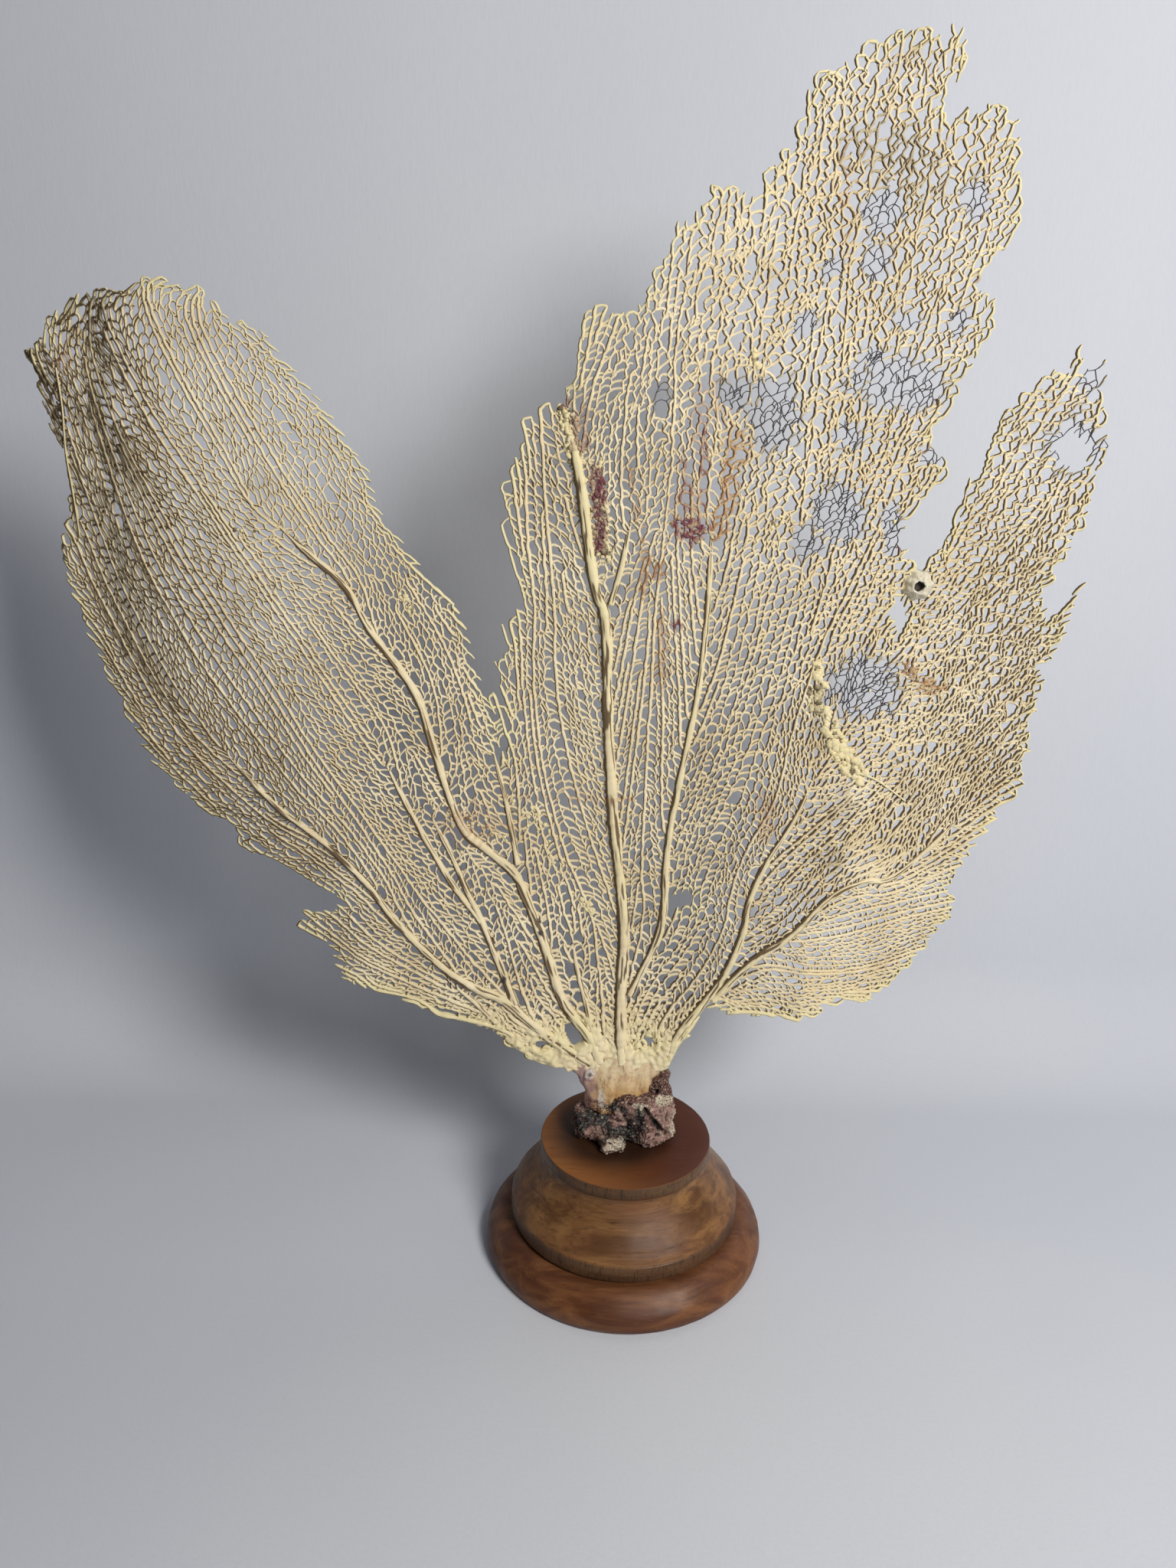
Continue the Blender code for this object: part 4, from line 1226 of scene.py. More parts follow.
def rib_parts(net, parts):
    """Closed lumpy tubes of the ribs, into one mesh for each lobe."""
    lobes = [0] * len(LEFT_RIBS) + [1] * len(CENTRE_RIBS) + [2] * len(RIGHT_RIBS)
    angle = ring_angles(RIB_SIDES)
    for number, (line, low, high) in enumerate(net.ribs):
        line = resampled(line, RIB_MESH_STEP)
        points, normals = net_points(line)
        share = np.linspace(0.0, 1.0, len(line))
        deep = RIB_DEEP * (low + (high - low) * share ** RIB_TAPER)
        lump = 1.0 + 0.20 * wobble(points, 0.0045, 17.0 + number) + 0.12 * wobble(points, 0.0018, 31.0)
        tip = smooth((1.0 - share) * len(line) * RIB_MESH_STEP / RIB_TIP)
        wide = np.array(rib_wide(len(line), low, high)) * lump * (0.45 + 0.55 * tip)
        deep = deep * lump * (0.40 + 0.60 * tip)
        tube = tube_points(points, normals, wide, deep, RIB_SIDES, (0.0, 0.0004))
        along = share * len(line) * RIB_MESH_STEP / GROOVE_LENGTH
        round_places = stretched(GROOVE_COUNT * np.cos(angle), GROOVE_COUNT * np.sin(angle), along[:, None])
        groove = wobble(round_places, 1.0, 60.0 + number)
        centres = np.repeat(points, RIB_SIDES, 0)
        tube[:-2] = centres + (tube[:-2] - centres) * (1.0 + GROOVE_SHARE * groove)[:, None]
        values = tube_rows(place_values(points, net.depth_field), points, tube, RIB_SIDES)
        # Painted shade in the grooves along the ribs, laid into the painted flank shade
        groove_shade = 0.75 * ramp(-groove, 0.08, 0.30)
        values[:-2, FLANK] = np.maximum(0.8 * values[:-2, FLANK], groove_shade)
        values[:, BARE] = zone_share(tube, BLACK_SPOTS, 0.2)
        values[:, CRUST] = np.maximum(values[:, CRUST], 0.35)
        values[:, EDGE] = np.maximum(values[:, EDGE], zone_share(tube, YELLOW_ZONES, 0.3))
        parts[lobes[number]].add(tube, tube_faces(len(line), RIB_SIDES), values)


def add_nets(net, material):
    """The open net of each lobe in a low and a high mesh, and its ribs."""
    parts = [MeshParts() for _ in range(2 * len(LOBES))]
    strand_parts(net, parts)
    link_parts(net, parts)
    ribs = [MeshParts() for _ in LOBES]
    rib_parts(net, ribs)
    names = [(lobe, ending) for lobe in LOBES for ending in ("net_low", "net_high")]
    names += [(lobe, "ribs") for lobe in LOBES]
    for (lobe, ending), gathered in zip(names, parts + ribs):
        piece = gathered.make(lobe.replace("lobe", ending), material)
        finish_piece(piece, "dried_net", lobe)


def crust_cover(net, places, points, rough, fine):
    """How much crust covers each place: most at the fork and by the ribs, none over holes and pits."""
    height = places[:, 1] - FORK_HEIGHT
    far = read_all(net.rib_far_field, places)
    cover = 1.05 - height / CRUST_RISE + 0.55 * rough + 0.25 * fine
    cover += 0.75 * np.exp(-(far / CRUST_BY_RIB) ** 2) * (1.0 - ramp(height, 0.008, 0.030))
    pitted = wobble(points * np.array((1.0, 1.0, 0.75)), 0.0016, 45.0)
    cover -= 0.75 * ramp(pitted, 0.22, 0.16) * ramp(height, 0.004, 0.008)
    cover = np.minimum(cover, read_all(net.depth_field, places) / CRUST_EDGE)
    cover[places[:, 1] < FORK_HEIGHT - CRUST_SUNK] = 0.0
    return cover


def grid_triangles(rows, columns):
    """Triangles of a grid of points."""
    corner = np.arange(rows * columns).reshape(rows, columns)
    a = corner[:-1, :-1].ravel()
    b = corner[:-1, 1:].ravel()
    c = corner[1:, 1:].ravel()
    d = corner[1:, :-1].ravel()
    return np.concatenate((np.stack((a, b, c), 1), np.stack((a, c, d), 1)))


def add_fork_crust(net, material):
    """The lumpy crust that closes the net round the fork, on both faces."""
    x, z = np.meshgrid(np.arange(CRUST_LEFT, CRUST_RIGHT, CRUST_STEP),
                       np.arange(FORK_HEIGHT - 0.0030, CRUST_TOP, CRUST_STEP))
    places = np.stack((x.ravel(), z.ravel()), 1)
    points, normals = net_points(places)
    rough = wobble(points, 0.0055, 41.0)
    fine = wobble(points, 0.0017, 43.0)
    cover = crust_cover(net, places, points, rough, fine)
    half = CRUST_HALF * np.sqrt(np.clip(cover, 0.0, 1.0)) * (1.0 + 0.35 * rough + 0.30 * fine)
    half *= 1.0 - 0.45 * smooth((places[:, 1] - FORK_HEIGHT) / 0.040)
    half = np.maximum(half, 0.0) * (cover > 0.0)
    values = place_values(points, net.depth_field)
    values[:, BARE] = 0.0
    values[:, CRUST] = 0.75 + 0.25 * fine
    closed = half < 1e-6
    front = np.arange(len(places))
    back = np.where(closed, front, front + len(places))
    triangles = grid_triangles(*x.shape)
    triangles = triangles[~closed[triangles].all(axis=1)]
    faces = np.concatenate((front[triangles], back[triangles][:, ::-1]))
    both = np.concatenate((points - normals * half[:, None], points + normals * half[:, None]))
    used = np.unique(faces)
    renumbered = np.zeros(len(both), int)
    renumbered[used] = np.arange(len(used))
    parts = MeshParts()
    parts.add(both[used], renumbered[faces], np.concatenate((values, values))[used])
    finish_piece(parts.make("fork_crust", material), "dried_net", *LOBES)


def ball_mesh():
    """Points and triangles of a small ball."""
    shape = bmesh.new()
    bmesh.ops.create_icosphere(shape, subdivisions=2, radius=1.0)
    points = np.array([vertex.co[:] for vertex in shape.verts])
    faces = np.array([[vertex.index for vertex in face.verts] for face in shape.faces])
    shape.free()
    return points, faces


def add_crumbs(net, parts):
    """Lumps of crust and crumbs on the net's front, scattered along lines."""
    ball, faces = ball_mesh()
    for line, half, count, size in NET_CRUSTS:
        path = resampled(np.array(line, float), 1.0)
        for _ in range(count):
            pixel = path[net.draw.randrange(len(path))]
            turn = net.draw.uniform(0.0, 2.0 * math.pi)
            away = half * math.sqrt(net.draw.random())
            place = photo_to_sheet(pixel + away * np.array((math.cos(turn), math.sin(turn))))
            centre = net_points(place)[0][0]
            radius = PIXEL_SIZE * size * net.draw.uniform(0.45, 1.0)
            if read_all(net.depth_field, place)[0] < 0.0:
                continue
            lumpy = 1.0 + 0.75 * wobble(ball + centre / radius, 0.9, 7.0)
            points = ball * lumpy[:, None] * np.array(CRUMB_FORM) * radius + centre
            points = points + np.array((0.0, -0.0005, 0.0))
            values = place_values(points, net.depth_field)
            values[:, (BARE, CRUST, EDGE)] = (0.0, 0.30, 0.80)
            dark = net.draw.random() < DARK_CRUMBS
            values[:, BROWN_SHARE] = np.maximum(values[:, BROWN_SHARE], 0.9 * dark)
            # Painted shade on the side of each crumb away from the light
            values[:, FLANK] = 0.60 * ramp(ball @ SHADED_SIDE, 0.2, 0.7)
            parts.add(points, faces, values)


def add_net_crust(net, material):
    """The crumbs and a few fine threads in one mesh."""
    parts = MeshParts()
    add_crumbs(net, parts)
    for line in THREADS:
        points, normals = net_points(rounded_line(photo_to_sheet(line), STRAND_STEP))
        points = points + np.array((0.0, -STRAND_DEEP, 0.0))
        half = np.full(len(points), THREAD_HALF)
        tube = tube_points(points, normals, half, half, TUBE_SIDES, (0.0, 0.0))
        values = tube_rows(place_values(points, net.depth_field), points, tube, TUBE_SIDES)
        values[:, (EDGE, BROWN_SHARE)] = (0.80, 0.0)
        parts.add(tube, tube_faces(len(points), TUBE_SIDES), values)
    finish_piece(parts.make("net_crust", material), "dried_net", *LOBES)


def stem_values(points):
    """The stem's colour values at points: one column for each of STEM_NAMES."""
    x = points[:, 0]
    z = points[:, 2]
    front = points[:, 1] < 0.0
    upright = wobble(points * np.array((1.0, 1.0, 0.4)), 0.002, 67.0)
    pink = ramp(0.0034 * wobble(points, 0.003, 57.0) - x, 0.0060 - TRUNK_TOP_X, 0.005)
    maroon = ramp(0.0025 * wobble(points, 0.0025, 59.0) - z, -0.0735, 0.003)
    tone = 0.5 + 0.5 * wobble(points, 0.0040, 61.0)
    pale = zone_share(points, STEM_PALE_ZONES, 0.3 * wobble(points, 0.0012, 63.0)) * front
    pit = zone_share(points, STEM_PIT_ZONES, 0.2 * wobble(points, 0.0012, 65.0)) * front
    high = ramp(z + 0.0045 * upright, 0.0745, 0.012)
    return np.stack((pink, maroon, tone, pale, pit, high), 1)


def add_trunk(material):
    """The stem: a flat column with upright cords, which widens up to the fork."""
    share = np.linspace(0.0, 1.0, TRUNK_LEVELS)[:, None]
    height = TRUNK_LOW - TRUNK_SUNK + (FORK_HEIGHT - TRUNK_LOW + TRUNK_SUNK + TRUNK_RAISED) * share
    rise = np.clip((height - TRUNK_LOW) / (FORK_HEIGHT - TRUNK_LOW), 0.0, 1.3)
    middle = TRUNK_LOW_X + (TRUNK_TOP_X - TRUNK_LOW_X) * rise ** 2
    wide = TRUNK_FOOT_HALF[0] + (TRUNK_TOP_HALF[0] - TRUNK_FOOT_HALF[0]) * rise ** 2
    deep = TRUNK_FOOT_HALF[1] + (TRUNK_TOP_HALF[1] - TRUNK_FOOT_HALF[1]) * rise
    above = smooth((height - FORK_HEIGHT + 0.002) / (TRUNK_RAISED + 0.002))
    deep = deep * (1.0 - 0.55 * above)
    wide = wide * (1.0 - 0.12 * above)
    angle = ring_angles(TRUNK_SIDES)
    points = stretched(middle + wide * np.cos(angle), deep * np.sin(angle), height)
    cords = wobble(points * np.array((1.0, 1.0, 0.16)), 0.0021, 51.0)
    lumps = wobble(points, 0.0060, 53.0)
    shell = zone_share(points, STEM_PALE_ZONES[:1], 0.1) * (points[:, 1] < 0.0)
    push = 0.00090 * cords + 0.0008 * lumps + 0.00022 * wobble(points, 0.0008, 55.0) + 0.0009 * shell
    points = points + stretched(np.cos(angle), np.sin(angle), 0.0 * height) * push[:, None]
    centre = points.reshape(TRUNK_LEVELS, TRUNK_SIDES, 3).mean(axis=1)
    points = np.concatenate((points, centre[:1], centre[-1:]))
    parts = MeshParts()
    parts.add(points, tube_faces(TRUNK_LEVELS, TRUNK_SIDES), stem_values(points))
    finish_piece(parts.make("stem", material, STEM_NAMES), "ochre_stem", "trunk")


def root_mesh():
    """All root lumps in one skin of small voxels."""
    shape = bmesh.new()
    for centre, half_sizes, roughness, seed in ROOT_LUMPS:
        made = bmesh.ops.create_icosphere(shape, subdivisions=5, radius=1.0)
        for vertex in made["verts"]:
            direction = vertex.co.normalized()
            square = max(abs(direction.x), abs(direction.y), abs(direction.z)) ** 0.45
            push = 1.0 + roughness * noise.noise(direction * 1.9 + Vector((seed, 0.0, 0.0)))
            scaled = direction / square * push
            vertex.co = Vector(centre) + Vector([scaled[axis] * half_sizes[axis] for axis in range(3)])
    mesh = bpy.data.meshes.new("root_lumps")
    shape.to_mesh(mesh)
    shape.free()
    thing = add_object("root_crust", mesh)
    skin = thing.modifiers.new("skin", "REMESH")
    skin.mode = "VOXEL"
    skin.voxel_size = ROOT_VOXEL
    graph = bpy.context.evaluated_depsgraph_get()
    thing.data = bpy.data.meshes.new_from_object(thing.evaluated_get(graph))
    thing.modifiers.clear()
    return thing


def slit_share(points):
    """How far inside the slit of the maroon block each point is; the slit is pressed in and painted black as
    painted shade in the crack.
    """
    u, v = to_photo(points)
    start = np.array(SLIT[0], float)
    run = np.array(SLIT[1], float) - start
    share = np.clip(((u - start[0]) * run[0] + (v - start[1]) * run[1]) / (run @ run), 0.0, 1.0)
    away = np.hypot(u - start[0] - share * run[0], v - start[1] - share * run[1])
    return smooth((SLIT[2] - away) / 2.5) * ramp(-points[:, 1], -0.004, 0.003)


def add_holdfast(material):
    """The encrusted root: crumbled lumps, black at the left, maroon at the right, pale at its edges."""
    thing = root_mesh()
    mesh = thing.data
    points, normals = np.zeros((2, len(mesh.vertices) * 3), np.float32)
    mesh.vertices.foreach_get("co", points)
    mesh.vertex_normals.foreach_get("vector", normals)
    points = points.reshape(-1, 3).astype(float)
    normals = normals.reshape(-1, 3).astype(float)
    broad = wobble(points, 0.0034, 71.0)
    rough = wobble(points, 0.0016, 73.0)
    fine = wobble(points, 0.0007, 75.0)
    slit = slit_share(points)
    push = 0.0010 * broad - 0.0012 * np.abs(rough) + 0.0006 * rough + 0.0007 * fine - 0.0030 * slit
    moved = points + normals * push[:, None]
    moved[:, 2] = np.maximum(moved[:, 2], STAND_HEIGHT + STAND_GAP)
    mesh.vertices.foreach_set("co", moved.astype(np.float32).ravel())
    mesh.shade_smooth()
    black, pink, pale, red = (zone_share(points, zones, broad_edge * broad + rough_edge * rough)
                              for zones, broad_edge, rough_edge in ROOT_STAINS)
    # The pressed-in slit is painted black: painted shade in the crack
    black = np.clip(np.maximum(black, slit) * (1.0 - pink), 0, 1)
    specks = ramp(fine, 0.22, 0.14) * (0.35 + 0.65 * smooth((rough + 0.1) / 0.3))
    # Painted shade in the pits, where the surface is pressed in deepest
    pits = smooth((-rough - 0.15) / 0.3)
    set_values(mesh, ("black", "pink", "pale", "pits", "red"),
               (black, pink, np.clip(pale + 0.7 * specks, 0, 1), pits, red))
    mesh.update()
    mesh.materials.clear()
    mesh.materials.append(material)
    finish_piece(thing, "maroon_crust", "holdfast")


def stand_profile():
    """Radius and height of the turned stand, from the underside's rim to the top's rim."""
    shoulder = BAND_TOP + 0.0035
    flare_top = STAND_HEIGHT - LIP_HEIGHT - 0.0010
    groove_top = BODY_BOTTOM + GROOVE_WIDTH
    profile = [(FOOT_RADIUS - 0.0016, 0.0), (FOOT_RADIUS - 0.0004, 0.0012),
               (FOOT_RADIUS, 0.0032), (FOOT_RADIUS - 0.0002, FOOT_EDGE - 0.0012)]
    for step in range(1, ROUND_STEPS + 1):
        share = step / ROUND_STEPS
        rise = math.sin(share * math.pi / 2) * (BODY_BOTTOM - FOOT_EDGE)
        profile.append((FOOT_RADIUS - (FOOT_RADIUS - BODY_RADIUS) * share, FOOT_EDGE + rise))
    profile += [(GROOVE_RADIUS, BODY_BOTTOM + 0.0001), (GROOVE_RADIUS, groove_top - 0.0001),
                (BODY_RADIUS - 0.0003, groove_top + 0.0001), (BODY_RADIUS, groove_top + 0.0006),
                (BODY_RADIUS, BAND_TOP - 0.0003), (BODY_RADIUS - 0.0003, BAND_TOP),
                (BODY_RADIUS - 0.0008, BAND_TOP + 0.0020)]
    for step in range(FLARE_STEPS + 1):
        share = step / FLARE_STEPS
        radius = WAIST_RADIUS + (BODY_RADIUS - 0.0022 - WAIST_RADIUS) * (1.0 - share) ** 1.6
        profile.append((radius, shoulder + (flare_top - shoulder) * share ** 0.85))
    profile += [(TOP_RADIUS - 0.0003, flare_top + 0.0010), (TOP_RADIUS, flare_top + 0.0016),
                (TOP_RADIUS, STAND_HEIGHT - 0.0008), (TOP_RADIUS - 0.0003, STAND_HEIGHT - 0.0002),
                (TOP_RADIUS - 0.0008, STAND_HEIGHT)]
    return profile + [(radius, STAND_HEIGHT) for radius in TOP_RINGS]


def add_stand(material):
    """The turned stand, smooth, with a slightly worn surface."""
    radius, height = np.array(stand_profile()).T[:, :, None]
    angle = ring_angles(TURNED_SIDES)
    points = stretched(radius * np.cos(angle), radius * np.sin(angle), height)
    worn = 0.00016 * wobble(points, 0.0050, 81.0)
    size = np.hypot(points[:, 0], points[:, 1])
    on_side = (points[:, 2] > 0.0001) & (size > TOP_RADIUS - 0.0020)
    points[:, :2] *= (1.0 + np.where(on_side, worn / size, 0.0))[:, None]
    points = np.concatenate((points, [(0.0, 0.0, 0.0)], [(0.0, 0.0, STAND_HEIGHT)]))
    parts = MeshParts()
    parts.add(points, tube_faces(len(radius), TURNED_SIDES), np.zeros((len(points), 1)))
    piece = parts.make("stand_wood", material, ())
    piece.data.set_sharp_from_angle(angle=math.radians(38.0))
    finish_piece(piece, "turned_wood", "turned_stand")


def barnacle_levels():
    """Radius and height of the shell's rings, up to its mouth and down into its pit."""
    levels = []
    for step in range(BARNACLE_RINGS):
        share = step / (BARNACLE_RINGS - 1)
        radius = BARNACLE_BASE + (BARNACLE_MOUTH * 1.25 - BARNACLE_BASE) * share ** 0.8
        levels.append((radius, BARNACLE_TALL * math.sin(share * math.pi / 2)))
    levels.append((BARNACLE_MOUTH, BARNACLE_TALL * 0.97))
    for step in range(1, PIT_RINGS + 1):
        share = step / PIT_RINGS
        levels.append((BARNACLE_MOUTH * (1.0 - 0.45 * share), BARNACLE_TALL - BARNACLE_PIT * share))
    return levels


def add_barnacle(material):
    """The crater-shaped shell on the net, ridged, with a ragged mouth."""
    centre = net_points(photo_to_sheet([BARNACLE_PIXEL]))[0][0]
    front = float(sheet_depth(centre[0], centre[2])) - STRAND_DEEP
    radius, tall = np.array(barnacle_levels()).T[:, :, None]
    angle = ring_angles(BARNACLE_SIDES)
    ridge = 1.0 + 0.08 * np.cos(7.0 * angle) * np.minimum(1.0, radius / BARNACLE_BASE + 0.2)
    points = stretched(centre[0] + radius * ridge * np.cos(angle), front - tall,
                       centre[2] + radius * ridge * np.sin(angle))
    points += 0.00035 * np.stack([wobble(points, 0.0016, 91.0 + axis) for axis in range(3)], 1)
    bottom = (centre[0], front, centre[2])
    pit = (centre[0], front - BARNACLE_TALL + BARNACLE_PIT, centre[2])
    points = np.concatenate((points, [bottom], [pit]))
    rim = BARNACLE_RINGS * BARNACLE_SIDES
    # Painted shade: the mouth ring a little dark, the pit inside it fully dark
    dark = np.zeros(len(points))
    dark[rim:rim + BARNACLE_SIDES] = 0.2
    dark[rim + BARNACLE_SIDES:-2] = 1.0
    dark[-1] = 1.0
    parts = MeshParts()
    parts.add(points, tube_faces(len(radius), BARNACLE_SIDES), dark[:, None])
    finish_piece(parts.make("barnacle_shell", material, ("pit",)), "pale_shell", "barnacle")


class Look:
    """A procedural material in the making: its shader, and colours laid over each other."""

    def __init__(self, name, roughness, specular=None):
        self.material = bpy.data.materials.new(name)
        self.material.use_nodes = True
        self.tree = self.material.node_tree
        self.shader = self.tree.nodes["Principled BSDF"]
        self.shader.inputs["Roughness"].default_value = roughness
        if specular is not None:
            self.shader.inputs["Specular IOR Level"].default_value = specular
        self.colour = None

    def node(self, kind, inputs, **settings):
        """The outputs of a new node; each input is a value or another node's output."""
        made = self.tree.nodes.new(kind)
        for name, value in settings.items():
            setattr(made, name, value)
        for name, value in inputs.items():
            if isinstance(value, bpy.types.NodeSocket):
                self.tree.links.new(value, made.inputs[name])
            else:
                made.inputs[name].default_value = value
        return made.outputs

    def place(self, stretch=(1.0, 1.0, 1.0)):
        """Object coordinates, stretched."""
        source = self.node("ShaderNodeTexCoord", {})["Object"]
        return self.node("ShaderNodeMapping", {"Vector": source, "Scale": stretch})["Vector"]

    def grain(self, vector, scale, detail=4.0, rough=0.55, distort=0.0):
        """A noise value."""
        inputs = {"Vector": vector, "Scale": scale, "Detail": detail, "Roughness": rough,
                  "Distortion": distort}
        return self.node("ShaderNodeTexNoise", inputs)["Fac"]

    def value(self, name):
        """A mesh point value by name."""
        return self.node("ShaderNodeAttribute", {}, attribute_name=name)["Fac"]

    def band(self, value, low, high, to_low=0.0, to_high=1.0):
        """A value eased from one range to another."""
        inputs = {"Value": value, "From Min": low, "From Max": high, "To Min": to_low, "To Max": to_high}
        return self.node("ShaderNodeMapRange", inputs, interpolation_type="SMOOTHSTEP")["Result"]

    def times(self, first, second, operation="MULTIPLY"):
        """Two values put together, kept between 0 and 1."""
        return self.node("ShaderNodeMath", {0: first, 1: second}, operation=operation, use_clamp=True)[0]

    def blend(self, share, first, second):
        """A colour between two, by a value."""
        first, second = ((*tone, 1.0) if isinstance(tone, tuple) else tone for tone in (first, second))
        return self.node("ShaderNodeMix", {0: share, 6: first, 7: second}, data_type="RGBA")[2]

    def lay(self, colour, share, most=None):
        """Lay a colour over the others, by a value."""
        if most is not None:
            share = self.times(share, most)
        self.colour = self.blend(share, self.colour, colour)

    def finish(self, relief, distance, strength=1.0):
        """The material, with its colour and its relief."""
        bump = self.node("ShaderNodeBump", {"Height": relief, "Distance": distance, "Strength": strength})
        self.tree.links.new(bump["Normal"], self.shader.inputs["Normal"])
        self.tree.links.new(self.colour, self.shader.inputs["Base Color"])
        return self.material


def net_material():
    """Dried horny net: cream, with painted shade on the flanks away from the light and in the rib grooves,
    and with bare, stained and crusted places.
    """
    look = Look("dried_net_look", 0.78, 0.25)
    vector = look.place()
    fine = look.grain(vector, 900.0, 5.0, 0.65)
    broad = look.grain(vector, 55.0, 4.0, 0.60)
    look.colour = look.blend(look.band(look.value("tone"), 0.15, 0.95), CREAM, PALE_CREAM)
    look.lay(TAN, look.band(broad, 0.50, 0.78), 0.40)
    look.lay(TAN, look.band(fine, 0.56, 0.80), 0.55)
    look.lay(TIP_YELLOW, look.value("edge"), 0.75)
    look.lay(CRUST_YELLOW, look.value("crust"), 0.60)
    # Painted shade: dark brown on the flanks away from the light, in the rib grooves and on the crumbs'
    # shaded sides
    look.lay(FLANK_SHADE, look.band(look.value("flank"), 0.14, 0.66), 0.94)
    blotch = look.band(look.grain(vector, 420.0, 4.0, 0.65), 0.62, 0.42, 0.45, 1.0)
    # The brown value lays brown stain, and also painted shade along the left fold
    for name, colour in (("brown", BROWN), ("amber", AMBER), ("maroon", MAROON)):
        look.lay(colour, look.value(name), blotch)
    look.lay(BARE_DARK, look.value("bare"))
    return look.finish(fine, 0.00022, 0.9)


def stem_material():
    """Ochre stem with upright fibres, a pink edge and maroon crumbs low down."""
    look = Look("ochre_stem_look", 0.70)
    vector = look.place()
    fibres = look.grain(look.place((1.0, 1.0, 0.34)), 700.0, 5.0, 0.70)
    crumbs = look.grain(vector, 1100.0, 5.0, 0.70)
    mottle = look.grain(vector, 330.0, 4.0, 0.65)
    look.colour = look.blend(look.band(look.value("tone"), 0.2, 0.85), OCHRE, PALE_OCHRE)
    look.lay(STEM_CREAM, look.value("high"))
    look.lay(STEM_MOTTLE, look.band(mottle, 0.50, 0.66), 0.50)
    look.lay(STEM_FIBRE, look.band(fibres, 0.52, 0.66), 0.62)
    look.lay(STEM_PINK, look.value("pink"), 0.70)
    look.lay(STEM_MAROON, look.value("maroon"), look.band(crumbs, 0.36, 0.60))
    look.lay(STEM_PALE, look.value("pale"), look.band(crumbs, 0.62, 0.45))
    look.lay(STEM_PIT, look.value("pit"))
    return look.finish(look.times(fibres, mottle, "ADD"), 0.00042, 0.9)


def root_material():
    """Crumbly crust: maroon and pink-brown, black and glossy in places, with pale specks."""
    look = Look("root_crust_look", 0.80)
    vector = look.place()
    fine = look.grain(vector, 1400.0, 5.0, 0.70)
    broad = look.grain(vector, 320.0, 4.0, 0.60)
    tiny = look.grain(vector, 2600.0, 4.0, 0.65)
    look.colour = look.blend(look.band(broad, 0.35, 0.65), ROOT_DARK, ROOT_LIGHT)
    look.lay(ROOT_PINK, look.value("pink"), 0.85)
    look.lay(ROOT_SPECK, look.band(fine, 0.50, 0.66), 0.75)
    look.lay(ROOT_RED, look.value("red"), look.band(fine, 0.62, 0.48))
    look.lay(ROOT_SHADE, look.band(tiny, 0.52, 0.64), 0.80)
    look.lay(ROOT_BLACK, look.value("black"), look.band(fine, 0.70, 0.54))
    # Painted shade in the pressed-in pits
    look.lay(ROOT_PIT_SHADE, look.value("pits"))
    look.lay(ROOT_PALE, look.value("pale"), look.band(fine, 0.40, 0.55))
    gloss = look.band(look.value("black"), 0.2, 0.9, 0.82, 0.30)
    look.tree.links.new(gloss, look.shader.inputs["Roughness"])
    return look.finish(fine, 0.00045)


def shell_material():
    """Pale chalky shell with painted shade in its mouth and pit."""
    look = Look("pale_shell_look", 0.75)
    fine = look.grain(look.place(), 900.0, 5.0, 0.65)
    look.colour = look.blend(look.band(fine, 0.35, 0.70), SHELL_DARK, SHELL_LIGHT)
    look.lay(SHELL_PIT_SHADE, look.value("pit"))
    return look.finish(fine, 0.0003, 0.8)


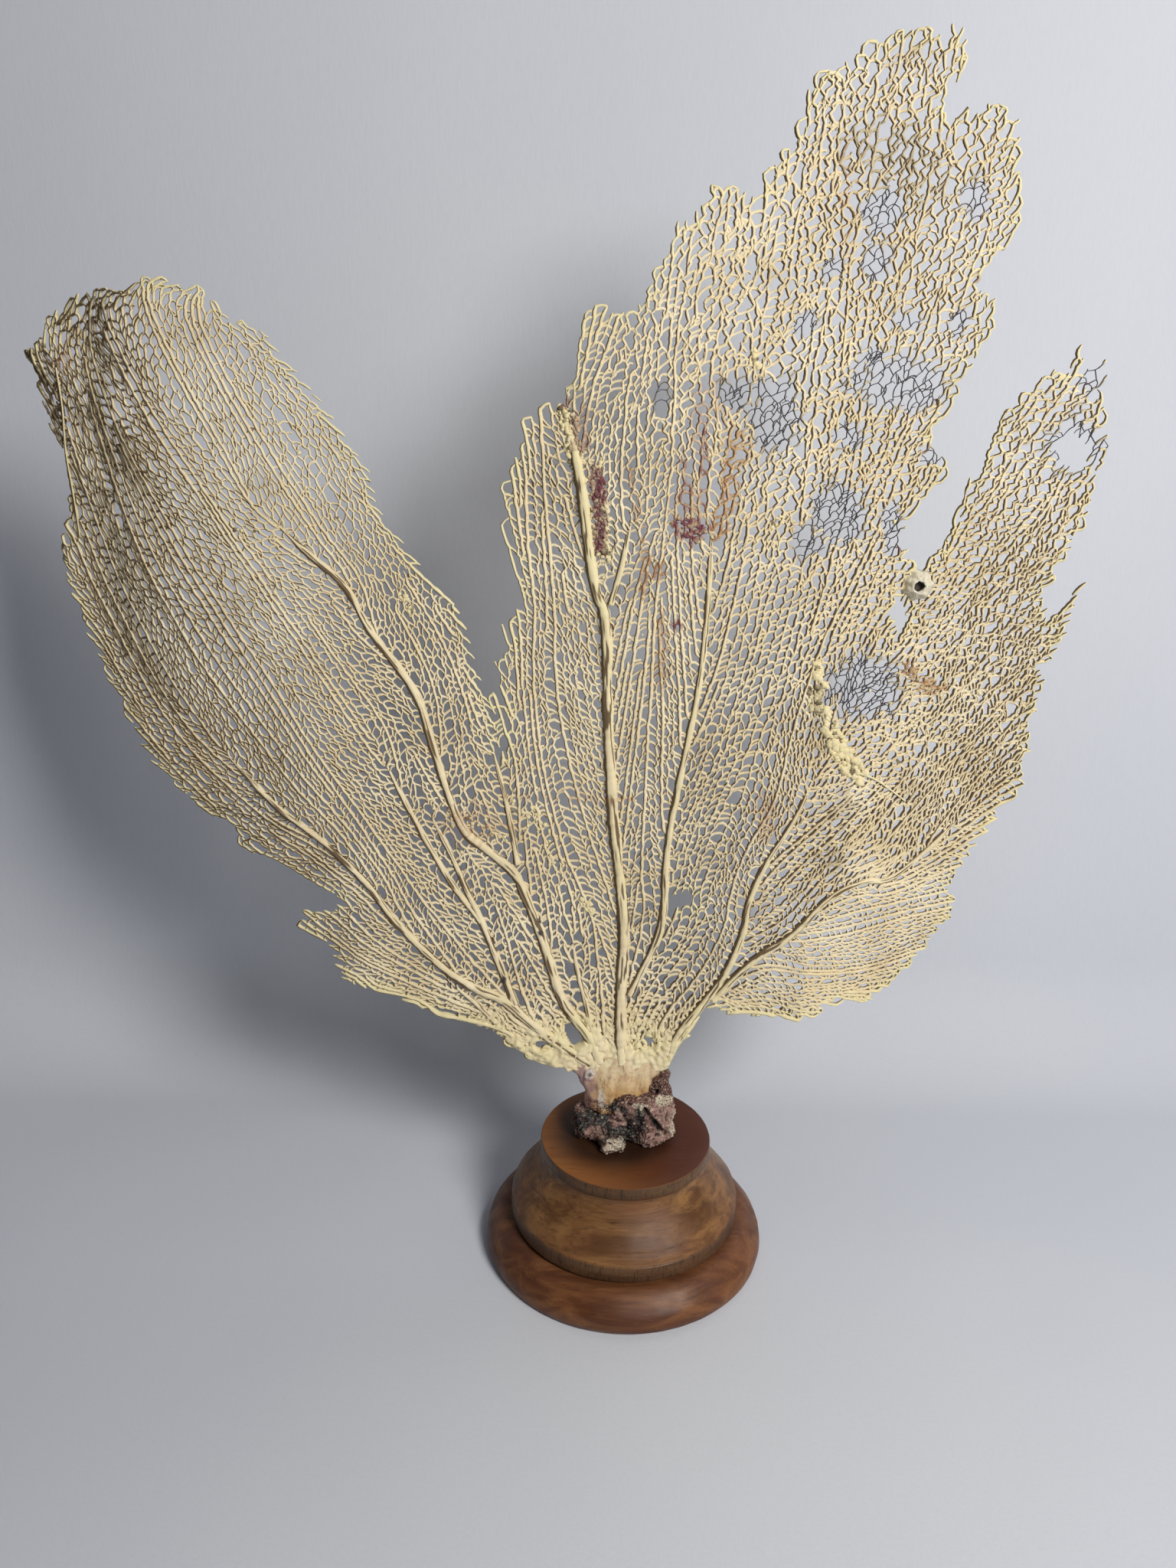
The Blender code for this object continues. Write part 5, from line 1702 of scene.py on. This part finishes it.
def wood_material():
    """Stained turned wood: streaks along X, turning marks, dark worn bands and a stained top."""
    look = Look("turned_wood_look", 0.38, 0.30)
    source = look.node("ShaderNodeTexCoord", {})["Object"]
    axes = look.node("ShaderNodeSeparateXYZ", {"Vector": source})
    streaks = look.grain(look.place((9.0, 90.0, 150.0)), 1.0, 6.0, 0.62, 0.6)
    pores = look.grain(look.place((130.0, 900.0, 900.0)), 1.0, 3.0, 0.60)
    turned = look.grain(look.place((4.0, 4.0, 900.0)), 1.0, 4.0, 0.60)
    cloud = look.grain(look.place(), 34.0, 4.0, 0.55)
    fine = look.grain(look.place((16.0, 240.0, 520.0)), 1.0, 5.0, 0.66, 0.3)
    strokes = look.grain(look.place((1100.0, 1100.0, 150.0)), 1.0, 3.0, 0.60)
    at_foot, above_groove, below_shoulder, above_waist, below_top, on_top = (
        look.band(axes["Z"], *heights) for heights in WOOD_BANDS)
    look.colour = look.blend(look.band(streaks, 0.34, 0.66), WOOD_DARK, WOOD_LIGHT)
    look.lay(WOOD_CLOUD, look.band(cloud, 0.40, 0.70), 0.55)
    look.lay(WOOD_LINE, look.band(fine, 0.50, 0.64), 0.50)
    look.lay(look.blend(look.band(streaks, 0.35, 0.70), FOOT_DARK, FOOT_LIGHT), at_foot, 0.75)
    low_band = look.times(above_groove, below_shoulder)
    look.lay(BAND_DARK, low_band, 0.62)
    lip = look.times(above_waist, below_top)
    look.lay(LIP_DARK, lip, 0.62)
    worn = look.times(look.band(strokes, 0.52, 0.64), look.times(low_band, lip, "ADD"))
    look.lay(WORN_DARK, worn, 0.60)
    reddish = look.blend(look.band(axes["X"], -0.030, 0.024), TOP_LIGHT, TOP_DARK)
    reddish = look.blend(look.times(look.band(streaks, 0.40, 0.70), 0.45), reddish, TOP_STREAK)
    look.lay(reddish, on_top)
    away = look.node("ShaderNodeVectorMath", {0: source, 1: (*STAIN_CENTRE, STAND_HEIGHT)},
                     operation="DISTANCE")["Value"]
    look.lay(TOP_STAIN, look.times(look.band(away, 0.0340, 0.0185), on_top), 0.88)
    look.lay(PORE_DARK, look.band(pores, 0.60, 0.74), 0.55)
    look.tree.links.new(look.band(cloud, 0.30, 0.75, 0.34, 0.54), look.shader.inputs["Roughness"])
    return look.finish(look.times(turned, look.times(pores, 0.5), "ADD"), 0.00022, 0.55)


def paper_material():
    """Pale blue-grey backdrop with a faint weave, clear from behind."""
    look = Look("backdrop_look", 0.92)
    cloud = look.grain(look.place(), 2.5, 3.0)
    weave = look.grain(look.place((1.0, 1.0, 0.25)), 700.0, 3.0)
    look.colour = look.blend(look.band(cloud, 0.30, 0.72), PAPER_DARK, PAPER_LIGHT)
    look.lay(PAPER_WEAVE, look.band(weave, 0.35, 0.75), 0.10)
    behind = look.node("ShaderNodeNewGeometry", {})["Backfacing"]
    clear = look.node("ShaderNodeBsdfTransparent", {})[0]
    mixed = look.node("ShaderNodeMixShader", {0: behind, 1: look.shader.outputs[0], 2: clear})[0]
    output = next(node for node in look.tree.nodes if node.type == "OUTPUT_MATERIAL")
    look.tree.links.new(mixed, output.inputs["Surface"])
    return look.finish(weave, 0.0002, 0.35)


def add_camera():
    """The camera at the photo's place."""
    right, up, forward = camera_axes()
    camera = bpy.data.cameras.new("photo_camera")
    camera.lens = LENS
    camera.sensor_width = SENSOR
    thing = add_object("photo_camera", camera)
    columns = np.eye(4)
    columns[:3] = np.stack((right, up, -forward, EYE), 1)
    thing.matrix_world = Matrix(columns.tolist())
    bpy.context.scene.camera = thing


def add_backdrop():
    """A floor that sweeps up into a wall close behind."""
    profile = [(-BACKDROP_REACH, 0.0), (WALL_Y - WALL_BEND, 0.0)]
    for step in range(1, ROUND_STEPS + 1):
        angle = 0.5 * math.pi * step / ROUND_STEPS
        y = WALL_Y - WALL_BEND + WALL_BEND * math.sin(angle)
        profile.append((y, WALL_BEND * (1.0 - math.cos(angle))))
    profile.append((WALL_Y + 0.05, BACKDROP_REACH))
    vertices = [(x, y, z) for x in (-BACKDROP_HALF, BACKDROP_HALF) for y, z in profile]
    count = len(profile)
    faces = [(count + i, count + i + 1, i + 1, i) for i in range(count - 1)]
    mesh = bpy.data.meshes.new("backdrop")
    mesh.from_pydata(vertices, [], faces)
    mesh.shade_smooth()
    mesh.materials.append(paper_material())
    add_object("backdrop", mesh)


def add_lights():
    """Soft studio light from the right front and above, with a weak fill and a dim room."""
    for name, position, size, power, colour in LIGHTS:
        light = bpy.data.lights.new(name, "AREA")
        light.size = size
        light.energy = power
        light.color = colour
        thing = add_object(name, light)
        thing.visible_camera = False
        thing.location = position
        way = Vector(LIGHT_TARGET) - Vector(position)
        thing.rotation_euler = way.to_track_quat("-Z", "Y").to_euler()
    world = bpy.data.worlds.new("soft_room")
    world.use_nodes = True
    background = world.node_tree.nodes["Background"]
    background.inputs["Color"].default_value = ROOM_COLOUR
    background.inputs["Strength"].default_value = ROOM_STRENGTH
    bpy.context.scene.world = world
    bpy.context.scene.view_settings.view_transform = "Standard"


def main():
    """Build the whole picture."""
    add_camera()
    add_backdrop()
    add_lights()
    net = Net(all_ribs())
    net.grow_strands()
    net.join_ends()
    net.add_links()
    net.bend_strands()
    horny = net_material()
    add_nets(net, horny)
    add_fork_crust(net, horny)
    add_net_crust(net, horny)
    add_trunk(stem_material())
    add_holdfast(root_material())
    add_stand(wood_material())
    add_barnacle(shell_material())


main()
